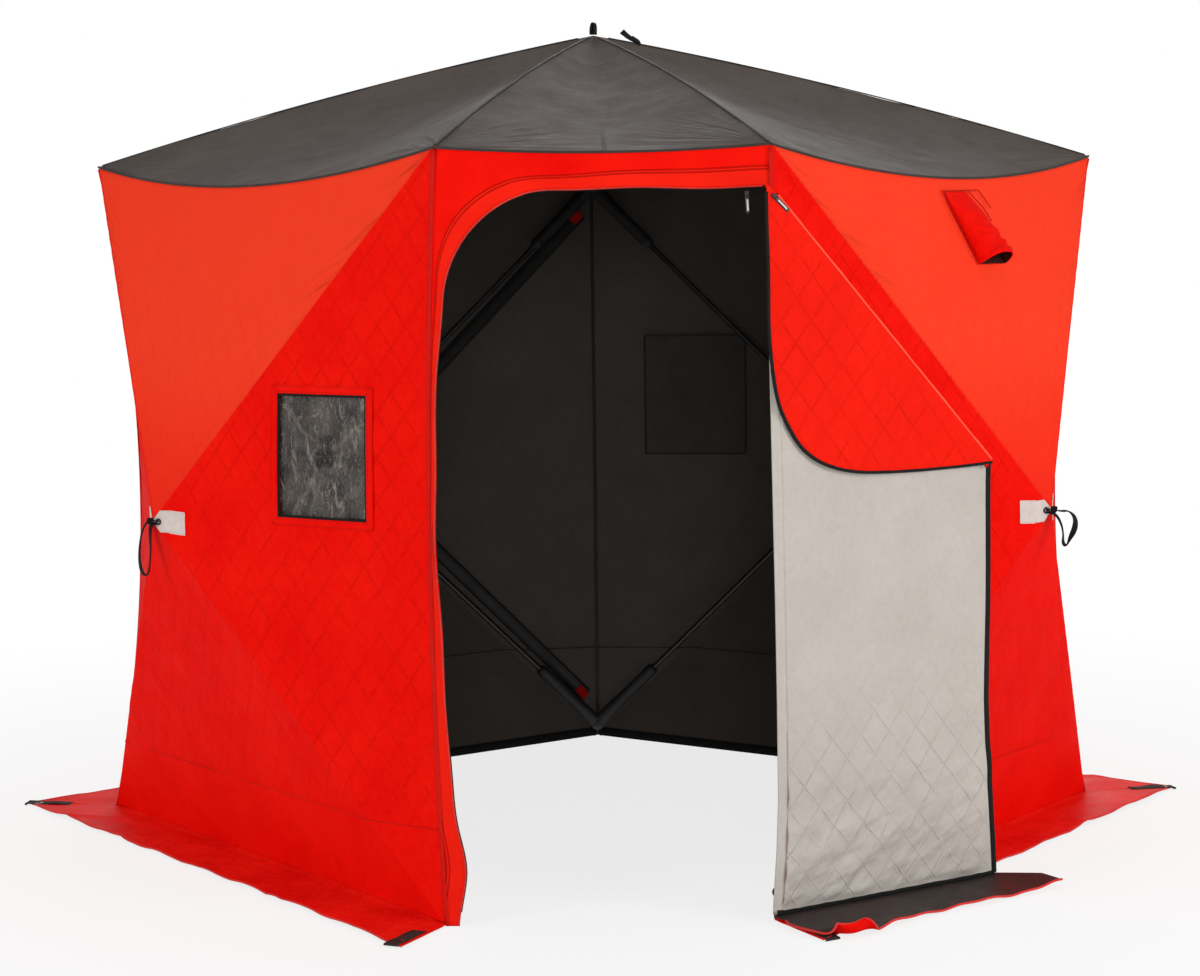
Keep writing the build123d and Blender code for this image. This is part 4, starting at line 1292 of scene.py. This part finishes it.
def make_pane(wall, number):
    """A window's crumpled vinyl, with folds pulled from its middle to its corners; the middle is painted dark
    as shade and the folds' rays are painted light as highlights.
    """
    lap = 0.008
    a, b = window_grid(96, 92, lap, lap)
    u, v = a * HALF_WIDTH, b * HALF_HEIGHT
    flat = stack(u, v, 0)
    edge = np.minimum(np.minimum(u - u.min(), u.max() - u), np.minimum(v - v.min(), v.max() - v))
    right, up = u - (u.mean() - 0.006), v - (v.mean() + 0.002)
    crumple = 0.0030 * wrinkle(flat, 0.040, 21 + number, (1, 0.5, 1))
    crumple += 0.0020 * wrinkle(flat, 0.016, 25 + number, (1, 0.45, 1))
    star = np.cos(5 * np.arctan2(up, right) + 0.6) * np.exp(-np.hypot(right, up) / 0.12)
    # where the middle is painted darker as shade
    painted_shade_heart = smooth(1.35 - np.hypot(right / 0.034, up / 0.044) - 1.1 * wrinkle(flat, 0.018, 29 + number))
    # the rays are raised folds, and are also painted lighter as highlights
    ray = np.zeros(u.shape)
    for turn, width in ((146, 0.0050), (40, 0.0042), (-54, 0.0050), (-72, 0.0030)):
        way_u, way_v = math.cos(math.radians(turn)), math.sin(math.radians(turn))
        along = right * way_u + up * way_v
        side = up * way_u - right * way_v + 0.004 * np.sin(along * 60 + turn)
        ray += bell(side, width) * smooth((along - 0.025) / 0.03)
    ray = np.minimum(ray, 1) * (0.6 + 0.4 * wrinkle(flat, 0.02, 33 + number))
    relief = (crumple + 0.0022 * star + 0.0012 * ray) * smooth((edge - lap) / 0.02)
    pane = make_sheet(
        f"{wall}_window_pane", on_wall(wall, a, b, -FABRIC - 0.0012 + relief), [window_vinyl],
        NORMALS[wall], 0.0008, uv=stack(u, v), fields={"painted_shade_heart": painted_shade_heart, "ray": ray},
    )
    return pane


def make_windows():
    """Each window: a vinyl pane, a stitched red border and a black binding."""
    panes, borders = [], []
    for number, wall in enumerate(WINDOW_WALLS):
        panes.append(make_pane(wall, number))
        name = f"{wall}_window_border"
        rows = [
            window_frame(f"{wall}_window_stitch{i}", wall, out, 0.0013, 0.0007, red_seam, 0.0041)
            for i, out in enumerate((0.0065, 0.0190))
        ]
        border = window_frame(name, wall, 0.0125, 0.019, 0.0014, red_plain, 0.0032)
        borders.append(join(name, [border, *rows]))
        binding = window_frame(f"{wall}_window_binding", wall, 0.0005, 0.006, 0.0050, black_webbing, 0.0008)
    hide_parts("window_panes")
    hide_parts("window_trims")


def make_window_cover():
    """The dark cover that hangs inside the back right window."""
    wall = "back_right"
    a, b = window_grid(60, 56, 0.022, 0.050)
    level = on_wall(wall, a, b, 0)
    wave = 0.0022 * wrinkle(level, 0.09, 41) + 0.0010 * wrinkle(level, 0.035, 42)
    points = on_wall(wall, a, b, -FABRIC - 0.0105 + wave)
    piece = make_sheet(
        "window_cover_fabric", points, [cover_dark], -NORMALS[wall], 0.0020,
        uv=stack(a * HALF_WIDTH, b * HALF_HEIGHT),
    )
    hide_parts("window_cover")
    loop = np.concatenate([
        points[0, ::2], points[1:-1:2, -1], points[-1, ::-2], points[-2:0:-2, 0], points[:1, 0]
    ])
    loop = loop - 0.0011 * NORMALS[wall]
    band("window_cover_binding", loop, NORMALS[wall], 0.0032, 0.0036, seam_dark)


make_windows()
make_window_cover()

# ---------------------------------------------------------------- hub patches and pull loops
PATCH_LENGTH, PATCH_HALF = 0.105, 0.026
PATCH_ROWS, PATCH_COLUMNS = 13, 28
EYELET_AWAY = 0.021
# each loop's points: out from the hub, sideways towards its eyelet, up
HANGING_LOOP = (
    (-0.004, 0.021, 0.001), (0.006, 0.010, 0.003), (0.017, 0.001, 0.001), (0.029, -0.004, -0.024),
    (0.036, -0.006, -0.070), (0.033, -0.006, -0.112), (0.021, -0.006, -0.131), (0.011, -0.004, -0.118),
    (0.008, -0.001, -0.074), (0.010, 0.002, -0.030), (0.010, 0.007, -0.006), (-0.003, 0.018, -0.004),
)
TWISTED_LOOP = (
    (-0.004, 0.021, 0.001), (0.008, 0.008, 0.002), (0.024, 0.000, -0.003), (0.044, -0.003, 0.000),
    (0.061, -0.004, -0.016), (0.060, -0.004, -0.042), (0.047, -0.003, -0.066), (0.039, -0.001, -0.086),
    (0.031, 0.002, -0.078), (0.033, 0.002, -0.054), (0.026, 0.002, -0.028), (0.013, 0.005, -0.008),
    (-0.003, 0.018, -0.004),
)


def eyelet_side(wall):
    """Which end of a wall its eyelet is nearer to: in the two front walls, the door's."""
    return -1 if wall == "front_left" else 1


def make_patches():
    """Two pale patches a hub, one each side, with a bound edge and a black eyelet."""
    pieces, eyelets = [], []
    u = np.linspace(0.003, PATCH_LENGTH, PATCH_COLUMNS)[None, :]
    t = np.linspace(-1, 1, PATCH_ROWS)[:, None]
    half_way = PATCH_COLUMNS // 2
    for number, wall in enumerate(WALLS):
        v = t * np.minimum(PATCH_HALF, u * 1.02) + 0.0015 * np.sin(u * 40 + number) * smooth(u / 0.05)
        for side in (-1, 1):
            a, b = np.broadcast_arrays(side * u / HALF_WIDTH, v / HALF_HEIGHT)
            offset = 0.0022 + 0.0006 * wrinkle(stack(a, b, 0), 0.02, 61 + number + side)
            points = on_wall(wall, a, b, offset)
            piece = make_sheet(
                f"patch{number}{side}", points, [patch_grey], NORMALS[wall], 0.0014, uv=stack(u, v)
            )
            apply_modifiers(piece)
            edge = np.concatenate([points[0, half_way:], points[1:-1, -1], points[-1, :half_way - 1:-1]])
            bound = band(f"bound{number}{side}", edge, NORMALS[wall], 0.0026, 0.0026, patch_edge)
            pieces += [piece, bound]
        a, b = np.array([eyelet_side(wall) * EYELET_AWAY / HALF_WIDTH, 0.0])
        at, axis = on_wall(wall, a, b, 0.0034), wall_normal(wall, a, b)
        eyelets.append(make_ring(f"eyelet{number}", at, axis, 0.0058, 0.0022, pole_black))
    patches = join("hub_patch_fabric", pieces)
    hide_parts("hub_patches")
    join("patch_eyelets", eyelets)


def make_pull_loops():
    """A webbing loop through each hub's eyelet, with a knot; the one by the door's hinge is twisted."""
    pieces = []
    for number, (wall, (start, end)) in enumerate(WALLS.items()):
        run = unit(CORNERS[end] - CORNERS[start])
        hub, out, toward = HUBS[wall], NORMALS[wall], run * eyelet_side(wall)
        shape, turns = (TWISTED_LOOP, 0.5) if wall == "front_right" else (HANGING_LOOP, 0.0)
        line = resample(smooth_line(shape), 0.004)
        path = hub + line[:, :1] * out + line[:, 1:2] * toward + line[:, 2:] * UP
        share = np.linspace(0, 1, len(path))[:, None]
        angle = turns * math.tau * smooth((share - 0.15) / 0.6) + 0.35 * np.sin(share * 7 + number)
        tangent = unit(np.gradient(path, axis=0))
        across = run * np.cos(angle) + np.cross(tangent, run) * np.sin(angle)
        pieces.append(band(f"loop{number}", path, across, 0.0135, 0.0028, black_webbing))
        knot = hub + out * 0.006 + toward * 0.010 + UP * 0.002
        curl = np.linspace(0, math.tau * 1.15, 26)[:, None]
        wrap = knot + (UP * np.cos(curl) + toward * np.sin(curl) * 0.8) * 0.0065
        wrap = wrap + out * (0.004 + 0.0008 * curl)
        pieces.append(band(f"knot{number}", wrap, out, 0.009, 0.0030, black_webbing))
    loops = join("pull_loop_webbing", pieces)
    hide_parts("pull_loops")


make_patches()
make_pull_loops()


# ---------------------------------------------------------------- braces and seams
def make_braces():
    """Padded straps beside the poles of the back left wall, with a red tab at their far ends."""
    wall, setback, tab_start = "back_left", 0.112, 0.925
    straps, tabs = [], []
    s = np.linspace(0.115, 0.955, 120)
    at_tab = s > tab_start
    for up in (1, -1):
        b = up * (s - setback)
        path = on_wall(wall, s, b, -FABRIC - 0.0075 + 0.0010 * np.sin(s * 40 + up))
        normal = wall_normal(wall, s, b)
        across = np.cross(normal, unit(np.gradient(path, axis=0)))
        straps.append(band(f"pad{up}", path, across, 0.040, 0.0085, brace_fabric, edge=0.45))
        for off in (-0.016, 0.016):
            row = path - normal * 0.0047 + across * off
            straps.append(band(f"row{up}{off}", row, across, 0.0016, 0.0008, dark_webbing))
        lift = -normal[at_tab] * (0.0060 + 0.012 * smooth(np.linspace(0, 1, at_tab.sum()))[:, None])
        line = resample(path[at_tab] + lift, 0.004)
        tabs.append(band(f"tab{up}", line, across[at_tab][0], 0.026, 0.0024, red_webbing))
    brace = join("brace_padding", straps)
    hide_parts("brace_straps")
    tab = join("brace_tab_webbing", tabs)
    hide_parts("brace_tabs")


def make_seams():
    """Sewn seams: corners outside and inside, the roof's ridges and eave, the walls' hems and rows."""
    outer, inner, roof = [], [], []
    for name in CORNERS:
        normal = unit(sum(wall_out(name)))
        path = seam_point(name, np.linspace(-0.995, 0.992, 96))
        sideways = np.cross(UP, normal)
        outer.append(band(f"corner_{name}", path + normal * 0.0012, sideways, 0.0105, 0.0032, red_seam))
        if name == "right_post":
            path = path[path[:, 2] < 1.0]
        path = path - normal * (FABRIC * 1.25 + 0.0025)
        inner.append(band(f"inside_{name}", path, sideways, 0.008, 0.0030, seam_dark))
    for number, (start, end) in enumerate(SIDES):
        eave = eave_point(start, end, np.linspace(-1, 1, 110)) + panel_out(start, end) * 0.0008 - UP * 0.0005
        roof.append(band(f"eave{number}", eave, UP, 0.0055, 0.0034, roof_seam))
        ridge = roof_surface(start, end, np.linspace(0.03, 0.992, 90), np.full(90, -1.0))
        sideways = np.cross(UP, unit((ridge[-1] - ridge[0]) * (1, 1, 0)))
        roof.append(band(f"ridge{number}", ridge + UP * 0.0006, sideways, 0.0070, 0.0028, roof_seam))
    foot, top_row, row = ((z - HUB_Z) / HALF_HEIGHT for z in (0.014, PLAIN_BAND + 0.060, PLAIN_BAND - 0.004))
    for number, wall in enumerate(WALLS):
        for b, width, material in ((foot, 0.026, black_webbing), (top_row, 0.0035, seam_dark)):
            line = [(-0.996, b), (0.996, b)]
            name = f"hem{number}{width}"
            inner.append(wall_band(name, wall, line, width, 0.0024, material, -FABRIC - 0.0022, 100))
        line = [(-0.992, row), (0.992, row)]
        outer.append(wall_band(f"row{number}", wall, line, 0.0022, 0.0016, red_seam, 0.0010, 110))
    join("corner_seams", outer)
    join("inside_seams", inner)
    join("roof_seams", roof)


make_braces()
make_seams()

# ---------------------------------------------------------------- vent sleeve
VENT_WALL = "front_right"
# stitched lines in (distance down from the eave, across)
VENT_OUTLINE = ((0.288, 0.020), (0.192, 0.061), (0.105, 0.094), (0.102, -0.096), (0.147, -0.136))
VENT_TRIANGLE = ((0.104, -0.040), (0.147, -0.096), (0.180, -0.118))
# the sleeve's sections: distance down, middle across, half width and height
VENT_SECTIONS = (
    (0.108, 0.024, 0.056, 0.004), (0.135, 0.012, 0.060, 0.016), (0.170, -0.004, 0.062, 0.031),
    (0.210, -0.022, 0.062, 0.041), (0.250, -0.040, 0.064, 0.047), (0.288, -0.056, 0.066, 0.049),
)
VENT_SIDES = 57
VENT_SEAT = 0.0052


def make_vent():
    """The red sleeve: an arch on a flat back, open and crumpled at its lower end, and its stitching."""
    start, end = WALLS[VENT_WALL]
    top = (CORNERS[start] + CORNERS[end]) / 2 + UP * EAVE_Z
    down = unit(HUBS[VENT_WALL] - top)
    side = unit(CORNERS[end] - CORNERS[start])
    out = np.cross(side, down)
    out = out * np.sign(out @ NORMALS[VENT_WALL])

    def at(x, y, z):
        x, y, z = (values[..., None] for values in np.broadcast_arrays(x, y, z))
        return top + x * down + y * side + z * out

    place, *sizes = np.array(VENT_SECTIONS).T
    x = np.linspace(place[0], place[-1], 64)[:, None]
    mid, half, high = (np.interp(x, place, values) for values in sizes)
    turn = np.linspace(0, math.tau, VENT_SIDES)[None, :]
    arch = turn < math.pi + 1e-6
    y = mid + half * np.cos(turn)
    z = np.where(arch, VENT_SEAT + high * np.abs(np.sin(turn)) ** 0.75, VENT_SEAT)
    grid = stack(x, y, z)
    low = smooth((x - 0.13) / 0.08)
    creases = 0.0060 * wrinkle(grid, 0.035, 91, (2.2, 0.6, 1))
    creases += 0.0026 * wrinkle(grid, 0.014, 92, (2, 0.7, 1))
    creases += 0.0030 * wrinkle(grid, 0.050, 93, (0.4, 2.0, 1))
    rise = np.where(arch, np.sin(np.minimum(turn, math.pi)), 0)
    dent = 0.010 * bell((y - mid) / half + 0.1, 0.35) * bell(x - 0.262, 0.03)
    z = z + creases * rise * (0.35 + 0.65 * low) - np.where(arch, dent * low, 0)
    droop = -0.016 * rise * smooth((x - 0.20) / 0.08)
    points = at(x + droop, y, z)
    # its inside is painted dark as shade
    # its lower end is the wider one, so outward normals add up to a sum that points up
    sleeve = make_sheet(
        "vent_sleeve", points, [red_plain, vent_inside_shade], -down, 0.0016, uv=stack(turn * 0.06, x)
    )
    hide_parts("vent_hood")
    rim = points[-1, :VENT_SIDES // 2 + 1] - down * 0.006 + out * 0.0006
    pieces = [
        band("rim", rim, down, 0.013, 0.0030, red_plain),
        band("rim_row", rim - down * 0.006 + out * 0.0012, down, 0.0014, 0.0030, red_seam),
    ]
    for number, line in enumerate((VENT_OUTLINE, VENT_TRIANGLE)):
        path = at(*resample(line, 0.006).T, 0.0062)
        across = np.cross(out, unit(np.gradient(path, axis=0)))
        pieces.append(band(f"row{number}", path, across, 0.0024, 0.0030, red_seam))
    join("vent_stitching", pieces)


make_vent()

# ---------------------------------------------------------------- roof tabs and zip pulls
TIP_LOOP = (
    (-0.0045, 0, 0), (-0.005, 0, 0.014), (-0.002, 0, 0.028), (0.002, 0, 0.0305), (0.005, 0, 0.022),
    (0.0045, 0, 0),
)
RIDGE_STRIP = (
    (0.004, 0, 0.0), (0.002, 0.002, 0.008), (-0.010, 0.003, 0.015), (-0.026, 0.002, 0.024),
    (-0.040, 0, 0.036), (-0.043, 0, 0.039),
)


def make_roof_tabs():
    """A webbing loop at the roof's tip and a loose tab on the ridge beside it."""
    tip = ROOF_HUB + UP * 0.0022
    low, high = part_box("roof_tabs")
    seat = vec(high.x, middle("roof_tabs")[1], low.z)
    loop = tip + resample(smooth_line(TIP_LOOP), 0.002)
    strip = seat + resample(smooth_line(RIDGE_STRIP), 0.002)
    lean = np.linspace(0, 1, len(strip))[:, None]
    across = unit(vec(0.1, 0.8, 0.35) * (1 - lean) + vec(0.3, 0.35, 0.9) * lean)
    under = strip[:16] + UP * 0.0030
    tabs = join("roof_tab_webbing", [
        band("tab_tip", loop, vec(0.55, 0.83, 0), 0.016, 0.0035, black_webbing),
        band("tab_ridge", strip, across, 0.016, 0.0028, black_webbing),
        band("tab_under", under, across[:16], 0.016, 0.0024, black_webbing),
    ])
    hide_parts("roof_tabs")


def make_zip_pull(name, head, foot, out, body, height=1.0):
    """A cord pull in a moulded grip: a black bar, a pale stripe on it and its slider."""
    run = unit(foot - head)
    across = np.cross(out, run)
    t = np.linspace(0, 1, 24)[:, None]
    path = head + (foot - head) * t + out * (0.0022 + 0.0020 * np.sin(t * math.pi)) * height
    stripe = path[4:-3] + out * 0.0021 * height
    slide = head - run * 0.007 + out * [[0.0012], [0.0030], [0.0012]] + run * [[-0.005], [0.0], [0.006]]
    slide = resample(smooth_line(slide, 2), 0.001)
    return join(name, [
        band(f"{name}_grip", path, across, 0.0105, 0.0046 * height, pole_black, body, edge=0.4),
        band(f"{name}_stripe", stripe, across, 0.0042, 0.0016, pull_white, body, edge=0.4),
        band(f"{name}_slider", slide, across, 0.0095, 0.0036, pole_black, body, edge=0.35),
    ])


def make_zip_pulls():
    """The pulls of the doorway's zip and of the door's own."""
    head, foot = vec(0.3105, DOOR_Y - 0.004, 1.592), vec(0.3125, DOOR_Y - 0.004, 1.556)
    pull = make_zip_pull("doorway_zip_pull", head, foot, vec(0, -1, 0), "hut")
    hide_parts("zip_pulls")
    head, foot = door_point(0.003, 1.588, FLAP_FRONT), door_point(0.038, 1.560, FLAP_FRONT - 0.001)
    pull = make_zip_pull("door_zip_pull", head, foot, DOOR_OUT, "door_top", 0.55)


make_roof_tabs()
make_zip_pulls()

# ---------------------------------------------------------------- corner boots
BOOT_LENGTH, BOOT_RADIUS, BOOT_SIDES, POLE_RADIUS = 0.25, 0.018, 16, 0.007
KNUCKLE_RADIUS, POST_KNUCKLE_RADIUS, KNUCKLE_SIDES = 0.022, 0.0115, 20
BOOT_INSET = 0.036
# the foot by the door's hinge stands this much further along its wall, out of sight behind the door
HIDDEN_FOOT_SHIFT = 0.052


def boot_arm(name, seat, toward, seed, start):
    """A tight sleeve over a pole's end, thickest at the corner, with a sewn cuff."""
    direction = unit(toward - seat)
    t = np.linspace(0, 1, 44)
    path = seat + direction * (t * min(BOOT_LENGTH, np.linalg.norm(toward - seat)))[:, None]
    path[-2] = path[-1] - direction * 0.001
    turn = np.linspace(0, math.tau, BOOT_SIDES, endpoint=False)
    radius = BOOT_RADIUS * (1.04 - 0.10 * smooth(t / 0.9))
    radius = radius + 0.0007 * np.sin(t * 75 + seed) * smooth(t / 0.1) + 0.0009 * bell(t - 0.93, 0.02)
    radius = start + (radius - start) * smooth(t / 0.22)
    radii = radius[:, None] + 0.0007 * np.sin(turn * 3 + t[:, None] * 9 + seed)
    radii[-1], radii[-2] = POLE_RADIUS * 1.15, POLE_RADIUS * 1.9
    return tube(name, path, radii, boot_black, BOOT_SIDES)


def make_boots(label, height, node):
    """The boots of all corners at one level: a knuckle and a sleeve towards each pole's hub."""
    pieces = []
    for number, name in enumerate(CORNERS):
        seat = mitre(name, -BOOT_INSET) + UP * height
        knuckle = POST_KNUCKLE_RADIUS if name in POST_BOWS else KNUCKLE_RADIUS
        targets = [middle(f"{wall}_hub") for wall, ends in WALLS.items() if name in ends]
        if label == "upper":
            targets.append(middle("roof_hub"))
        elif name == "right_post":
            targets = [seat + unit(targets[0] - seat) * BOOT_LENGTH]
            seat = seat + unit(CORNERS["right"] - CORNERS["right_post"]) * HIDDEN_FOOT_SHIFT
        for i, target in enumerate(targets):
            arm = boot_arm(f"{label}_arm{number}{i}", seat, target, number + i * 2.0, knuckle * 0.85)
            pieces.append(arm)
        t = np.linspace(-0.97, 0.97, 22)[:, None]
        ball, radii = seat + t * knuckle * UP, knuckle * np.sqrt(1 - t * t)
        name = f"{label}_knuckle{number}"
        pieces.append(tube(name, ball, radii, boot_black, KNUCKLE_SIDES, across=vec(1, 0, 0)))
    boots = join(f"{label}_boot_sleeves", pieces)
    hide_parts(node)


make_boots("upper", EAVE_Z - 0.052, "upper_corner_boots")
make_boots("lower", 0.046, "lower_corner_boots")

# ---------------------------------------------------------------- floor, light and world
WHITE = (1, 1, 1, 1)
FLOOR_SIZE = 30


def make_floor():
    """A white floor that keeps the object's shadow and looks plain white further out."""
    corners = [(x * FLOOR_SIZE, y * FLOOR_SIZE, 0) for x, y in ((-1, -1), (1, -1), (1, 1), (-1, 1))]
    mesh = bpy.data.meshes.new("floor")
    mesh.from_pydata(corners, [], [(0, 1, 2, 3)])
    floor = new_object("floor", mesh)
    floor.location.z = -0.001
    n = material_nodes("floor_white")
    n.finish((0.86, 0.86, 0.86, 1), 0.9, specular=0.1)
    seen = n.new("LightPath").outputs
    reflected = n.math("MAXIMUM", seen["Is Glossy Ray"], seen["Is Transmission Ray"])
    shown = n.math("MAXIMUM", seen["Is Camera Ray"], reflected)
    reach = n.new("VectorMath", {0: n.place()}, operation="LENGTH").outputs["Value"]
    n.show_white("Material Output", n.tree.nodes["Principled BSDF"], n.new("Emission", {"Color": WHITE}),
                 n.times(shown, n.span(reach, 1.6, 3.6, 0.80, 1.0)))
    mesh.materials.append(n.owner)


def make_world():
    """Soft white light from all sides, and plain white where the camera looks past the floor."""
    world = bpy.data.worlds.new("world")
    bpy.context.scene.world = world
    n = Nodes(world)
    sky = n.fill(n.tree.nodes["Background"], {"Color": WHITE, "Strength": 0.42})
    seen = n.new("LightPath").outputs
    n.show_white("World Output", sky, n.new("Background", {"Color": WHITE, "Strength": 1.0}),
                 n.math("MAXIMUM", seen["Is Camera Ray"], seen["Is Transmission Ray"]))


def make_lamp(name, place, target, size, power):
    """A round soft lamp."""
    data = bpy.data.lights.new(name, "AREA")
    data.shape = "DISK"
    data.size = size
    data.energy = power
    lamp = new_object(name, data)
    lamp.location = place
    lamp.rotation_mode = "QUATERNION"
    lamp.rotation_quaternion = (Vector(target) - Vector(place)).to_track_quat("-Z", "Y")


make_floor()
make_world()
make_lamp("key", (5.6, -4.4, 3.0), (0, 0, 0.9), 3.5, 215)
make_lamp("fill", (-5.2, -4.8, 2.6), (0, 0, 0.9), 3.0, 145)
make_lamp("front", (0.2, -8.6, 2.0), (0, 0, 0.9), 1.8, 85)
make_lamp("top", (0, 1.0, 6.5), (0, 0, 1.0), 5.0, 35)
make_lamp("back", (0.5, 6.5, 3.5), (0, 0, 1.0), 4.5, 150)
bpy.context.scene.view_settings.view_transform = "Standard"

# ---------------------------------------------------------------- CAD nodes that keep their shape
CAD_FINISHES = {
    pole_black: ["roof_poles", *(f"{wall}_poles" for wall in WALLS)],
    hub_black: ["roof_hub", *(f"{wall}_hub" for wall in WALLS)],
    steel: ["anchor_grommets"],
}
for material, nodes in CAD_FINISHES.items():
    for node in nodes:
        mesh = frame["nodes"][node].data
        mesh.materials.clear()
        mesh.materials.append(material)
